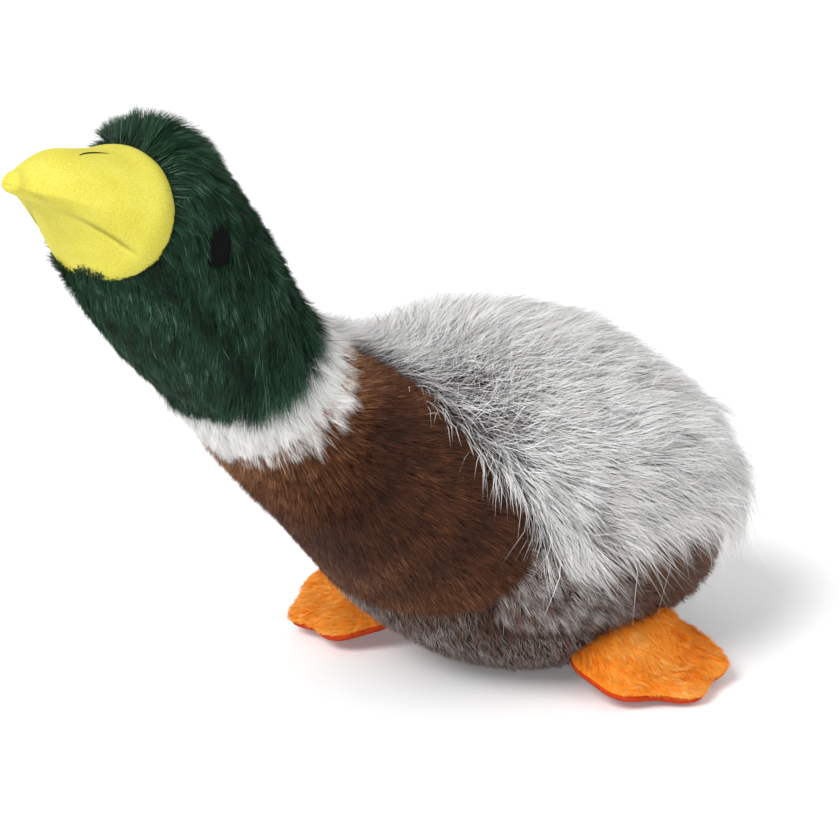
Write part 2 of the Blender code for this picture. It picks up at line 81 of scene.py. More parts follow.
# Seams in the side view, as (Y, Z) in mm.
SHOULDER = ((-133, 156), (-122, 150), (-113, 142), (-105.5, 131.1), (-98.8, 117.9), (-90.6, 102))
SHOULDER += ((-82.8, 87.9), (-80, 77))
BREAST_CORNER = ((-80, 77), (-81.3, 66), (-85.3, 55))
BREAST_HEM = ((-85.3, 55), (-91.2, 47.4), (-103.6, 46.7), (-118, 54), (-140, 66))
BACK_HEM = ((-80, 77), (-39.9, 80), (20, 76), (69.9, 70), (150, 64))
BASE_SEAM = ((-85.3, 55), (-75, 41), (-58.9, 36.9), (-20, 32.1), (20, 30), (60, 33), (90, 42), (150, 55))

# Heights of the cloth under the pile, below the outside of the form.
CLOTH_DEPTH = 2.2 * MM
CLOTH_BACK = 5.6 * MM
CLOTH_LEVEL = 0.4 * MM
BACK_LEVEL = 3.6 * MM
FILLING_DEPTH = 7.5 * MM
FILLING_LEVEL = 4.5 * MM
SEAM_PULL = 1.6 * MM
SEAM_WIDTH = 4.0 * MM

# The bill: share of its length, half width, reach above and below, in mm, and its own frame.
BILL = (
    (-0.34, 24.0, 21.8, 20.5),
    (-0.08, 27.8, 22.9, 23.2),
    (0.12, 25.6, 19.9, 17.4),
    (0.32, 22.0, 17.5, 10.2),
    (0.58, 15.4, 14.7, 3.8),
    (0.78, 8.6, 9.0, 3.0),
    (0.86, 5.4, 5.8, 2.8),
    (0.92, 4.2, 4.3, 2.6),
    (0.95, 2.8, 2.6, 1.7),
)
BILL_LENGTH = 41 * MM
BILL_PITCH = math.radians(20)
BILL_ROOT = np.array((0, -228.84, 215.1)) * MM
BILL_AHEAD = np.array((0, -math.cos(BILL_PITCH), math.sin(BILL_PITCH)))
BILL_UP = np.array((0, math.sin(BILL_PITCH), math.cos(BILL_PITCH)))
# The mouth's height over the bill's own line, as a curve of the distance along it, in mm.
MOUTH_CURVE = (-11.8, 0.44, -0.0038)

EYE_PLACE = np.array((-206.6, 204.2)) * MM
EYE_HALF = (5.6 * MM, 6.8 * MM)
EYE_DEPTH = 1.2 * MM

# Feet: X and Y of the sewn edge in mm, then heading, droop and roll in degrees.
FOOT_SIZE = np.array((58, 68, 12)) * MM
FEET = {
    "left": (36.5, 2.28, 14, 14, 0),
    "right": (51.35, -11.4, 52, 15, 5),
}


# Surfaces


def spline(rows, place):
    """Rows read at fractional places on a Catmull-Rom curve through them."""
    last = len(rows) - 1
    start = np.clip(place.astype(int), 0, last - 1)
    t = (place - start)[:, None]
    before, here, there, after = (rows[np.clip(start + k, 0, last)] for k in (-1, 0, 1, 2))
    return 0.5 * (
        2 * here
        + (there - before) * t
        + (2 * before - 5 * here + 4 * there - after) * t**2
        + (3 * here - before - 3 * there + after) * t**3
    )


def form_rows():
    """The trunk's rows, then the neck's along its line, with a closed end row beyond each end."""
    rows = [(y, z, math.radians(tilt), *sizes) for y, z, tilt, *sizes in TRUNK]
    for share, nape, *sizes in (*NECK, (1.02, -10, 0.4, 0.4, 0.4)):
        centre = (NECK_ROOT + UP_NECK * share * NECK_LENGTH) / MM + TO_NAPE * nape
        rows.append((centre[1], centre[2], NECK_PITCH, *sizes))
    rows = np.array([(93, 60, 0, 0.4, 0.4, 0.4), *rows], float)
    rows[:, [0, 1, 3, 4, 5]] *= MM
    return rows


FORM_ROWS = form_rows()
FORM_LAST = len(FORM_ROWS) - 1.0


def pressed(height, level):
    """Heights after the belly is pressed on the floor: the square-root curve that eases into level."""
    rise = height - level
    lift = (rise + np.sqrt(rise**2 + PRESSED_EDGE**2)) / 2
    least = (math.hypot(SAG, PRESSED_EDGE) - SAG) / 2
    return np.maximum(level + lift - least, level)


def form(along, turn, depth=CLOTH_DEPTH, level=CLOTH_LEVEL):
    """The stuffed form: an oval of the row's half width and reach, turned round the row's centre,
    leaning by the row's tilt, a given depth under the outside, pressed flat at the floor."""
    row = spline(FORM_ROWS, np.clip(along, 0, FORM_LAST))
    shrink = np.minimum(depth, 0.9 * row[:, 3])
    rise = np.sin(turn)
    reach = (np.where(rise > 0, row[:, 4], row[:, 5]) - shrink) * rise
    x = (row[:, 3] - shrink) * np.cos(turn)
    y = row[:, 0] + reach * np.sin(row[:, 2])
    z = pressed(row[:, 1] + reach * np.cos(row[:, 2]), level)
    return np.stack([x, y, z], -1)


def frame_at(surface, a, b, side):
    """The surface's point, its two slopes by small steps, and its outward normal as their product."""
    step = 1e-3
    here = surface(a, b)
    slope_a = (surface(a + step, b) - here) / step
    slope_b = (surface(a, b + step) - here) / step
    normal = np.cross(slope_a, slope_b) * side
    normal /= np.maximum(np.linalg.norm(normal, axis=-1, keepdims=True), 1e-12)
    return here, slope_a, slope_b, normal


def smooth_line(points, steps=4):
    """A seam's points with more added between them on a smooth curve, in metres."""
    points = np.array(points, float)
    place = np.linspace(0, len(points) - 1, (len(points) - 1) * steps + 1)
    return spline(points, place) * MM


def neck_flat(share, nape=0.0):
    """(Y, Z) of a point on the middle plane, by shares of neck length and neck width."""
    return (NECK_ROOT + UP_NECK * share * NECK_LENGTH + TO_NAPE * nape * NECK_WIDTH)[1:]


def seam_lines():
    """The seams as (Y, Z) lines, with the collar's two planes."""
    far = 95 * MM
    low = neck_flat(0.091)
    low_way = np.array((math.sin(math.radians(40)), math.cos(math.radians(40))))
    high = neck_flat(0.220)
    start = (low + low_way * 0.181 * NECK_WIDTH) / MM
    return {
        "shoulder": smooth_line((tuple(start), *SHOULDER)),
        "corner": smooth_line(BREAST_CORNER),
        "breast_hem": smooth_line(BREAST_HEM),
        "back_hem": smooth_line(BACK_HEM),
        "base_seam": smooth_line(BASE_SEAM),
        "collar_low": np.array((low - low_way * far, low + low_way * far)),
        "collar_high": np.array((high - TO_NAPE[1:] * far, high + TO_NAPE[1:] * far)),
    }


SEAMS = seam_lines()


def outlines():
    """Closed (Y, Z) outlines of the cloth panels, made of the seams between them."""
    low, high = SEAMS["collar_low"], SEAMS["collar_high"]
    up = UP_NECK[1:] * 200 * MM
    rear, sky, under = 150 * MM, 210 * MM, -60 * MM
    front = SEAMS["breast_hem"][-1]
    shoulder, corner = SEAMS["shoulder"], SEAMS["corner"]
    return {
        "head": np.array((high[0], high[1], high[1] + up, high[0] + up)),
        "collar": np.array((low[0], low[1], high[1], high[0])),
        "breast": np.vstack((low[:1], SEAMS["breast_hem"][::-1], corner[::-1], shoulder[::-1])),
        "back": np.vstack((low[1:], shoulder, SEAMS["back_hem"], [(rear, sky)])),
        "belly": np.vstack((shoulder[-1:], corner, SEAMS["base_seam"], SEAMS["back_hem"][::-1])),
        "base": np.vstack(
            (
                [(rear, under)],
                SEAMS["base_seam"][::-1],
                SEAMS["breast_hem"],
                [(front[0] - 60 * MM, front[1]), (front[0] - 60 * MM, under)],
            )
        ),
    }


OUTLINES = outlines()


def inside(points, name):
    """Which points are in the panel's outline in the side view, by counting the edges crossed."""
    y, z = points[:, 1, None], points[:, 2, None]
    line = OUTLINES[name]
    ay, az = line[:, 0], line[:, 1]
    by, bz = np.roll(ay, -1), np.roll(az, -1)
    rise = np.where(bz == az, 1e-12, bz - az)
    crossed = ((az > z) != (bz > z)) & (y < ay + (z - az) / rise * (by - ay))
    return crossed.sum(1) % 2 == 1


def seam_distance(points, names):
    """The least distance in the side view from each point to the named seams."""
    flat = points[:, None, 1:]
    least = np.full(len(points), 1.0)
    for name in names:
        line = SEAMS[name]
        start, run = line[:-1], line[1:] - line[:-1]
        share = ((flat - start) * run).sum(-1) / (run**2).sum(-1)
        near = start + np.clip(share, 0, 1)[..., None] * run
        least = np.minimum(least, np.linalg.norm(flat - near, axis=-1).min(1))
    return least


def neck_share(points):
    """Where points lie along the neck, as a share of its length."""
    return (points - NECK_ROOT) @ UP_NECK / NECK_LENGTH


def nape_reach(points):
    """How far points lie from the neck's own line towards the nape."""
    return (points - NECK_ROOT) @ TO_NAPE


def throat_crease(points):
    """How deep the crease beside the throat is: a bell curve round a line down each side of it."""
    along = (points - NECK_ROOT) @ UP_NECK
    back = nape_reach(points)
    line = -25 * MM + 5 * MM * np.sin(along / (34 * MM))
    fade = ramp(along - 26 * MM, 12 * MM)
    return 1.6 * MM * fade * bell((back - line), 3.2 * MM)


def seam_pull(points):
    """How far the cloth is drawn in near a seam: a bell curve of the distance to it."""
    names = ("shoulder", "corner", "breast_hem", "base_seam", "collar_low", "collar_high")
    away = seam_distance(points, names)
    return SEAM_PULL * np.exp(-((away / SEAM_WIDTH) ** 2)) + throat_crease(points)


def ramp(rise, span):
    """From 0 to 1 as the rise goes from 0 to the span."""
    return np.clip(rise / span, 0, 1)


def bell(away, width):
    """1 at no distance, falling as a bell curve of the given width."""
    return np.exp(-((away / width) ** 2))


def waves(points, size, seed):
    """Smooth noise of about that size: six sine waves in seeded directions, added together."""
    rng = np.random.default_rng(seed)
    way = rng.normal(size=(3, 6))
    way *= 2 * np.pi / size / np.linalg.norm(way, axis=0) * rng.uniform(0.6, 1.4, 6)
    return np.sin(points @ way + rng.uniform(0, 2 * np.pi, 6)).sum(-1) / 2.4


# Meshes


def new_piece(name, mesh, material):
    """An object in the scene for the mesh, with its material."""
    obj = bpy.data.objects.new(name, mesh)
    bpy.context.scene.collection.objects.link(obj)
    mesh.materials.append(material)
    return obj


def fill_mesh(name, points, faces, smooth=True):
    """A mesh from an array of points and a list of face arrays, each with a fixed corner count."""
    mesh = bpy.data.meshes.new(name)
    mesh.vertices.add(len(points))
    mesh.vertices.foreach_set("co", points.astype(np.float32).ravel())
    corners = np.concatenate([f.ravel() for f in faces])
    counts = np.concatenate([np.full(len(f), f.shape[1]) for f in faces])
    mesh.loops.add(len(corners))
    mesh.loops.foreach_set("vertex_index", corners.astype(np.int32))
    mesh.polygons.add(len(counts))
    starts = np.concatenate([[0], np.cumsum(counts)[:-1]])
    mesh.polygons.foreach_set("loop_start", starts.astype(np.int32))
    mesh.polygons.foreach_set("use_smooth", np.full(len(counts), smooth))
    mesh.update(calc_edges=True)
    return mesh


def enclosed(points, faces):
    """Signed volume inside the faces, each split into a fan: positive when they point outwards."""
    total = 0.0
    for face in faces:
        for k in range(1, face.shape[1] - 1):
            a, b, c = points[face[:, 0]], points[face[:, k]], points[face[:, k + 1]]
            total += (a * np.cross(b, c)).sum() / 6
    return total


def closed_mesh(name, points, faces):
    """A mesh of a closed skin, turned inside out first if its faces point inwards."""
    if enclosed(points, faces) < 0:
        faces = [f[:, ::-1] for f in faces]
    return fill_mesh(name, points, faces)


def grid_faces(rows, columns, first=0):
    """Four-cornered faces of a grid that closes on itself across its columns."""
    i, j = np.meshgrid(np.arange(rows - 1), np.arange(columns), indexing="ij")
    k = (j + 1) % columns
    here, there = i * columns, (i + 1) * columns
    return np.stack([here + j, here + k, there + k, there + j], -1).reshape(-1, 4) + first


def tube_loft(name, rings):
    """A closed skin over rings of equal count, with the middle of each end ring as a pole."""
    rows, columns = rings.shape[:2]
    points = np.vstack([rings.reshape(-1, 3), rings[:1].mean(1), rings[-1:].mean(1)])
    j = np.arange(columns)
    k = (j + 1) % columns
    first, last = rows * columns, rows * columns + 1
    top = (rows - 1) * columns
    caps = np.stack([np.full(columns, first), k, j], -1)
    ends = np.stack([np.full(columns, last), top + j, top + k], -1)
    return closed_mesh(name, points, [grid_faces(rows, columns), caps, ends])


def cloth_shell(name, chosen):
    """A closed shell of cloth over the chosen cells of the form.

    Its outside lies under the pile and is drawn in at the seams, its inside is the same grid
    further in, and a wall joins them along every edge that only one cell uses.
    """
    rows, columns = 170, 168
    a = np.linspace(0, FORM_LAST, rows)
    b = 2 * np.pi * np.arange(columns) / columns
    aa, bb = (g.ravel() for g in np.meshgrid(a, b, indexing="ij"))
    outer, _, _, normal = frame_at(form, aa, bb, FORM_SIDE)
    outer = outer - normal * seam_pull(outer)[:, None]
    outer[:, 2] = np.maximum(outer[:, 2], CLOTH_LEVEL)
    inner = form(aa, bb, CLOTH_BACK, BACK_LEVEL)
    cells = grid_faces(rows, columns)
    cells = cells[chosen(outer[cells].mean(1))]
    count = len(outer)
    edges = np.concatenate([cells[:, [k, (k + 1) % 4]] for k in range(4)])
    key = edges[:, 0] * count + edges[:, 1]
    back = edges[:, 1] * count + edges[:, 0]
    rim = edges[~np.isin(key, back)]
    wall = np.stack([rim[:, 1], rim[:, 0], rim[:, 0] + count, rim[:, 1] + count], -1)
    faces = np.concatenate([cells, cells[:, ::-1] + count, wall])
    used = np.unique(faces)
    renumber = np.zeros(2 * count, int)
    renumber[used] = np.arange(len(used))
    points = np.vstack([outer, inner])[used]
    return closed_mesh(name, points, [renumber[faces]])


def settle_form_side():
    """Finds which way round the form's two slopes give the outward normal, on its left flank."""
    probe = frame_at(form, np.array([5.0]), np.array([0.1]), 1.0)[3]
    return 1.0 if probe[0, 0] > 0 else -1.0


FORM_SIDE = settle_form_side()


# Pile


def scatter(surface, spans, count, chosen, seed):
    """Places on a surface spread evenly by area.

    The surface is cut into small cells, the cells are drawn in proportion to their areas with an
    even comb over their running total, and each place is moved at random inside its cell.
    """
    rng = np.random.default_rng(seed)
    cuts = 300
    (a0, a1), (b0, b1) = spans
    a = a0 + (a1 - a0) * (np.arange(cuts) + 0.5) / cuts
    b = b0 + (b1 - b0) * (np.arange(cuts) + 0.5) / cuts
    aa, bb = (g.ravel() for g in np.meshgrid(a, b, indexing="ij"))
    here, slope_a, slope_b, _ = frame_at(surface, aa, bb, 1)
    area = np.linalg.norm(np.cross(slope_a, slope_b), axis=-1) * chosen(here)
    total = np.cumsum(area)
    comb = (np.arange(count) + rng.uniform(0, 1, count)) / count * total[-1]
    cell = np.minimum(np.searchsorted(total, comb), len(total) - 1)
    a = aa[cell] + rng.uniform(-0.5, 0.5, count) * (a1 - a0) / cuts
    b = bb[cell] + rng.uniform(-0.5, 0.5, count) * (b1 - b0) / cuts
    keep = chosen(surface(a, b)) > 0
    return a[keep], b[keep]


def pairs(first, second):
    """The three pairs of two slopes whose products measure the surface."""
    return (first, first), (first, second), (second, second)


def grow(surface, side, places, spec, way, seed, pull=None):
    """Centre lines of strands that lie over a surface.

    A strand starts at its root and takes equal steps along the surface in the heading that way
    gives, while it rises above it at an angle that eases from the root's to the tip's. Strands of
    one tuft share a turn, a length and a lift, and draw together towards the tuft's mean line.
    """
    rng = np.random.default_rng(seed)
    a, b = (p.copy() for p in places)
    count, steps = len(a), spec["steps"]
    root = surface(a, b)
    size = spec["tuft"]
    shift = np.stack([waves(root, 3.1 * size, seed + k) for k in (1, 2, 3)], -1)
    cell = np.floor((root + 0.4 * size * shift) / size).astype(int)
    tuft = np.unique(cell, axis=0, return_inverse=True)[1].ravel()
    tufts = tuft.max() + 1
    loose = rng.uniform(0, 1, count) < spec.get("stray", 0.02)
    yaw = rng.normal(0, spec["tuft_yaw"], tufts)[tuft] + rng.normal(0, spec["yaw"], count)
    yaw += loose * rng.normal(0, 0.6, count)
    if "wild" in spec:
        yaw += spec["wild"](root) * rng.normal(0, 1, count)
    bend = rng.normal(0, spec.get("bend", 0.15), count)
    length = spec["length"](root) * rng.uniform(0.78, 1.12, count)
    length *= rng.uniform(0.86, 1.14, tufts)[tuft]
    lean = rng.normal(0, spec["lean_spread"], count) + rng.normal(0, spec["tuft_lean"], tufts)[tuft]
    lean += loose * rng.uniform(0, 0.35, count)
    low, high = spec["lean"](root)
    sunk = 0.5 * MM + (pull(root) if pull else 0)
    height = np.zeros(count)
    path = []
    for step in range(steps + 1):
        here, slope_a, slope_b, normal = frame_at(surface, a, b, side)
        if step == 0:
            outward = normal
        share = step / steps
        path.append(here + normal * (height - sunk * (1 - share) ** 2)[:, None])
        if step == steps:
            break
        heading = way(here)
        heading = heading - normal * (heading * normal).sum(-1, keepdims=True)
        heading /= np.maximum(np.linalg.norm(heading, axis=-1, keepdims=True), 1e-9)
        turn = (yaw + bend * (share - 0.3))[:, None]
        heading = heading * np.cos(turn) + np.cross(normal, heading) * np.sin(turn)
        angle = np.clip(low + (high - low) * (share + 0.5 / steps) + lean, 0.02, 1.35)
        run = length / steps * np.cos(angle)
        height = height + length / steps * np.sin(angle)
        aa, ab, bb = ((p * q).sum(-1) for p, q in pairs(slope_a, slope_b))
        pa, pb = (heading * slope_a).sum(-1), (heading * slope_b).sum(-1)
        area = np.maximum(aa * bb - ab**2, 1e-14)
        a = a + np.clip((pa * bb - pb * ab) / area * run, -1.0, 1.0)
        b = b + np.clip((pb * aa - pa * ab) / area * run, -1.0, 1.0)
    path = np.stack(path, 1)
    members = np.bincount(tuft, minlength=tufts)[:, None]
    hold = spec["draw"] * np.where(loose, 0.0, 1.0)[:, None]
    for step in range(1, steps + 1):
        mean = np.stack([np.bincount(tuft, path[:, step, k], tufts) for k in range(3)], -1) / members
        share = hold * (step / steps) ** 1.4
        path[:, step] += share * (mean[tuft] - path[:, step])
    roll = rng.normal(0, 0.45, (count, 1))
    across = np.cross(path[:, 1] - path[:, 0], outward)
    across /= np.maximum(np.linalg.norm(across, axis=-1, keepdims=True), 1e-9)
    return path, tuft, loose, outward * np.cos(roll) + across * np.sin(roll)


def strand_mesh(name, path, faced, widths, tones):
    """Three-sided strands that narrow to a point, each closed at its root.

    Round each centre line's stations stand the corners of a shallow triangle, whose wide side faces
    the given way and whose size falls with the station to the power 1.5, so that a strand is lit
    like the cloth it lies on. The map's column is the strand's tone and its row the way along it.
    """
    count, stations = path.shape[:2]
    steps = stations - 1
    run = np.diff(path, axis=1)
    run /= np.maximum(np.linalg.norm(run, axis=-1, keepdims=True), 1e-9)
    flat = np.cross(run, np.broadcast_to(faced[:, None], run.shape))
    flat /= np.maximum(np.linalg.norm(flat, axis=-1, keepdims=True), 1e-9)
    other = np.cross(flat, run)
    share = np.arange(steps) / steps
    radius = widths[:, None] / 2 * (1 - 0.72 * share**1.5)
    wide, tall = np.array((1.0, -1.0, 0.0)), np.array((0.2, 0.2, -0.7))
    ring = flat[:, :, None] * wide[:, None] + other[:, :, None] * tall[:, None]
    rings = path[:, :steps, None] + ring * radius[..., None, None]
    points = np.concatenate([rings.reshape(count, -1, 3), path[:, -1:]], 1)
    each = points.shape[1]
    points[..., 2] = np.maximum(points[..., 2], 0.3 * MM)
    first = (np.arange(count) * each)[:, None]
    quads = np.array(
        [
            (3 * i + k, 3 * i + (k + 1) % 3, 3 * i + 3 + (k + 1) % 3, 3 * i + 3 + k)
            for i in range(steps - 1)
            for k in range(3)
        ],
        int,
    ).reshape(-1, 4)
    tip = each - 1
    low = 3 * (steps - 1)
    ends = np.array([(2, 1, 0), *((low + k, low + (k + 1) % 3, tip) for k in range(3))])
    faces = [
        (first[:, :, None] + quads).reshape(-1, 4),
        (first[:, :, None] + ends).reshape(-1, 3),
    ]
    points = points.reshape(-1, 3)
    sample = [faces[0][: 3 * (steps - 1)], faces[1][:4]]
    if enclosed(points - points[0], sample) < 0:
        faces = [f[:, ::-1] for f in faces]
    mesh = fill_mesh(name, points, faces, False)
    side = np.array((-0.012, 0.012, 0.0))
    column = np.concatenate([np.tile(side, steps), [0.0]])
    row = np.concatenate([np.repeat(share, 3), [1.0]])
    across = (0.02 + 0.96 * np.clip(tones, 0, 1))[:, None] + column
    upward = np.broadcast_to(0.02 + 0.96 * row, across.shape)
    corners = np.concatenate([f.ravel() for f in faces])
    spots = np.stack([across.ravel()[corners], upward.ravel()[corners]], -1)
    mesh.uv_layers.new(name="OFBake").data.foreach_set("uv", spots.astype(np.float32).ravel())
    return mesh


def pile(name, surface, side, spans, chosen, spec, way, body, material, seed, pull=None):
    """A panel's pile as one or more pieces, each a run of strands from rear to front.

    The strands' tones follow a smooth pattern over the panel, the tuft and chance.
    """
    rng = np.random.default_rng(seed + 77)
    places = scatter(surface, spans, spec["count"], chosen, seed)
    path, tuft, loose, faced = grow(surface, side, places, spec, way, seed, pull)
    if "clear" in spec:
        keep = spec["clear"](path)
        path, tuft, loose, faced = path[keep], tuft[keep], loose[keep], faced[keep]
    root = path[:, 0]
    tones = 0.5 + spec["tuft_tone"] * rng.normal(size=tuft.max() + 1)[tuft]
    tones += spec["own_tone"] * rng.normal(size=len(root))
    tones += 0.09 * waves(root, spec.get("patch", 24 * MM), seed + 9)
    if "tone" in spec:
        tones = spec["tone"](root, tones, rng)
    tones = np.clip(tones, 0, 1)
    widths = spec["width"] * rng.uniform(0.75, 1.25, len(root))
    order = np.argsort(root[:, 1])
    per_strand = 6 * (spec["steps"] - 1) + 4
    pieces = math.ceil(len(order) * per_strand / 190000)
    made = []
    for index, part in enumerate(np.array_split(order, pieces)):
        label = name if pieces == 1 else f"{name}_{index + 1}"
        part_tones = tones[part]
        part_tones[:2] = (0.0, 1.0)
        mesh = strand_mesh(label, path[part], faced[part], widths[part], part_tones)
        obj = new_piece(label, mesh, material)
        if body:
            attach(obj, body)
        made.append(obj)
    return made


# Materials


def linear(code):
    """An sRGB hex colour as linear red, green, blue and alpha."""
    values = [int(code[i : i + 2], 16) / 255 for i in (1, 3, 5)]
    return (*(v / 12.92 if v <= 0.04045 else ((v + 0.055) / 1.055) ** 2.4 for v in values), 1.0)


def add(tree, kind, inputs=None, **settings):
    """Adds a node: settings go on the node, and each input gets a value or a link from an output."""
    made = tree.nodes.new(kind)
    for name, value in settings.items():
        setattr(made, name, value)
    for key, value in (inputs or {}).items():
        if isinstance(value, bpy.types.NodeSocket):
            tree.links.new(value, made.inputs[key])
        else:
            made.inputs[key].default_value = value
    return made


def set_stops(ramp, stops):
    """Sets a colour ramp's stops from (place, linear colour) pairs."""
    band = ramp.color_ramp
    while len(band.elements) < len(stops):
        band.elements.new(0.5)
    for element, (place, colour) in zip(band.elements, stops):
        element.position = place
        element.color = colour
    return ramp


def new_material(name, **uniform):
    """A material with a Principled shader whose uniform values are set on its own sockets."""
    made = bpy.data.materials.new(name)
    made.use_nodes = True
    tree = made.node_tree
    shader = tree.nodes["Principled BSDF"]
    for key, value in uniform.items():
        shader.inputs[key.replace("_", " ")].default_value = value
    return made, tree, shader


def fibre(name, tones, along, **uniform):
    """Pile fibre: the map's column picks the strand's own colour and its row darkens the root with painted
    shade, as deep in the pile.
    """
    made, tree, shader = new_material(name, **uniform)
    spot = add(tree, "ShaderNodeUVMap", uv_map="OFBake")
    split = add(tree, "ShaderNodeSeparateXYZ", {0: spot.outputs[0]})
    tone = add(tree, "ShaderNodeValToRGB", {0: split.outputs[0]})
    set_stops(tone, [(place, linear(code)) for place, code in tones])
    shade = add(tree, "ShaderNodeValToRGB", {0: split.outputs[1]})
    set_stops(shade, [(place, (v, v, v, 1.0)) for place, v in along])
    mix = add(
        tree,
        "ShaderNodeMix",
        {0: 1.0, 6: tone.outputs[0], 7: shade.outputs[0]},
        data_type="RGBA",
        blend_type="MULTIPLY",
    )
    tree.links.new(mix.outputs[2], shader.inputs["Base Color"])
    return made


def ground_cloth(name, dark, light, grain, **uniform):
    """Knitted ground cloth between the roots: two close colours in a mottle of the given grain."""
    made, tree, shader = new_material(name, Specular_IOR_Level=0.05, **uniform)
    place = add(tree, "ShaderNodeTexCoord")
    mottle = add(
        tree,
        "ShaderNodeTexNoise",
        {"Vector": place.outputs["Object"], "Scale": 1 / grain, "Detail": 4.0},
    )
    colour = add(tree, "ShaderNodeValToRGB", {0: mottle.outputs[0]})
    set_stops(colour, [(0.3, linear(dark)), (0.7, linear(light))])
    tree.links.new(colour.outputs[0], shader.inputs["Base Color"])
    bump = add(
        tree,
        "ShaderNodeBump",
        {"Strength": 0.5, "Distance": 0.4 * MM, "Height": mottle.outputs[0]},
    )
    tree.links.new(bump.outputs[0], shader.inputs["Normal"])
    return made


# Acrylic faux-fur fibre, combed while warm: soft gloss along each strand, dark between the tufts, where the
# roots and the darker backing cloths carry painted shade.
GREEN_FIBRE = fibre(
    "green_acrylic_plush",
    # The light top stop paints glints on a few strands: painted highlights.
    [(0.0, "#091b10"), (0.4, "#163623"), (0.75, "#234e34"), (0.93, "#376a4b"), (1.0, "#84a892")],
    [(0.0, 0.30), (0.35, 0.62), (0.8, 1.0), (1.0, 1.1)],
    Roughness=0.5,
    Specular_IOR_Level=0.2,
)
GREEN_CLOTH = ground_cloth("green_knit_backing", "#0a2013", "#143020", 1.5 * MM, Roughness=0.95)
WHITE_FIBRE = fibre(
    "white_acrylic_plush",
    [(0.0, "#ebeae6"), (0.5, "#fbfaf8"), (1.0, "#ffffff")],
    [(0.0, 0.92), (0.4, 1.0), (1.0, 1.0)],
    Roughness=0.6,
    Specular_IOR_Level=0.2,
    Sheen_Weight=1.0,
)
WHITE_CLOTH = ground_cloth("white_knit_backing", "#e4e3de", "#f4f3ef", 1.5 * MM, Roughness=0.95)
BROWN_FIBRE = fibre(
    "brown_acrylic_plush",
    [(0.0, "#331a0e"), (0.42, "#5b341e"), (0.8, "#875434"), (0.95, "#ac774e"), (1.0, "#d0a47c")],
    [(0.0, 0.35), (0.4, 0.68), (0.85, 1.0), (1.0, 1.1)],
    Roughness=0.5,
    Specular_IOR_Level=0.2,
)
BROWN_CLOTH = ground_cloth("brown_knit_backing", "#1e100b", "#301c14", 1.5 * MM, Roughness=0.95)
# Long white guard hairs over a dark undercoat: the tips hide the dark unless they part.
LONG_FIBRE = fibre(
    "frosted_long_pile",
    [(0.0, "#3b3634"), (0.06, "#5f5856"), (0.1, "#d5d3d2"), (0.5, "#f3f2f1"), (1.0, "#ffffff")],
    [(0.0, 0.10), (0.2, 0.35), (0.45, 0.95), (1.0, 1.0)],
    Roughness=0.45,
    Specular_IOR_Level=0.25,
    Sheen_Weight=0.3,
)
LONG_CLOTH = ground_cloth("dark_undercoat", "#1c1918", "#3a3635", 2.5 * MM, Roughness=0.95)
GREY_FIBRE = fibre(
    "grey_acrylic_plush",
    [(0.0, "#412d23"), (0.3, "#765240"), (0.5, "#8c817c"), (0.8, "#b6b0ad"), (1.0, "#e2ddda")],
    [(0.0, 0.35), (0.5, 0.8), (1.0, 1.1)],
    Roughness=0.5,
    Specular_IOR_Level=0.2,
)
GREY_CLOTH = ground_cloth("grey_knit_backing", "#231f1d", "#383230", 2.0 * MM, Roughness=0.95)
ORANGE_FIBRE = fibre(
    "orange_acrylic_plush",
    [(0.0, "#fa8c16"), (0.5, "#ffae38"), (0.9, "#ffc866"), (1.0, "#ffe2a4")],
    [(0.0, 0.92), (0.4, 1.0), (1.0, 1.0)],
    Roughness=0.5,
    Specular_IOR_Level=0.2,
    Sheen_Weight=0.6,
    Sheen_Tint=(1.0, 0.45, 0.08, 1.0),
)
ORANGE_CLOTH = ground_cloth("orange_knit_backing", "#f07c14", "#ff9a28", 1.5 * MM, Roughness=0.95)
RED_VELOUR = ground_cloth("red_orange_velour", "#b03412", "#cc4c26", 0.7 * MM, Roughness=0.85)
FILLING = ground_cloth("polyester_filling", "#dcdcd8", "#f2f2ee", 3.0 * MM, Roughness=1.0)


def velour(name):
    """Knitted polyester velour, sheared: a fine nap with a faint drift in its lie, with painted shade
    darkening it along the mouth's seam."""
    made, tree, shader = new_material(name, Roughness=0.8, Specular_IOR_Level=0.3)
    place = add(tree, "ShaderNodeTexCoord")
    nap = add(
        tree,
        "ShaderNodeTexNoise",
        {"Vector": place.outputs["Object"], "Scale": 1 / (0.55 * MM), "Detail": 3.0},
    )
    drift = add(
        tree,
        "ShaderNodeTexNoise",
        {"Vector": place.outputs["Object"], "Scale": 1 / (9 * MM), "Detail": 2.0},
    )
    both = add(tree, "ShaderNodeMix", {0: 0.3, 2: nap.outputs[0], 3: drift.outputs[0]})
    colour = add(tree, "ShaderNodeValToRGB", {0: both.outputs[0]})
    set_stops(colour, [(0.30, linear("#d0c43b")), (0.5, linear("#ddd351")), (0.70, linear("#e7df6b"))])
    # Painted shade along the mouth's seam: the crease attribute darkens the colour there.
    seam = add(tree, "ShaderNodeAttribute", attribute_name="crease")
    shade = add(tree, "ShaderNodeMapRange", {0: seam.outputs["Fac"], 3: 1.0, 4: 0.60})
    crease_shade = add(
        tree,
        "ShaderNodeMix",
        {0: 1.0, 6: colour.outputs[0], 7: shade.outputs[0]},
        data_type="RGBA",
        blend_type="MULTIPLY",
    )
    tree.links.new(crease_shade.outputs[2], shader.inputs["Base Color"])
    bump = add(
        tree,
        "ShaderNodeBump",
        {"Strength": 0.35, "Distance": 0.3 * MM, "Height": nap.outputs[0]},
    )
    tree.links.new(bump.outputs[0], shader.inputs["Normal"])
    return made


YELLOW_VELOUR = velour("yellow_velour")


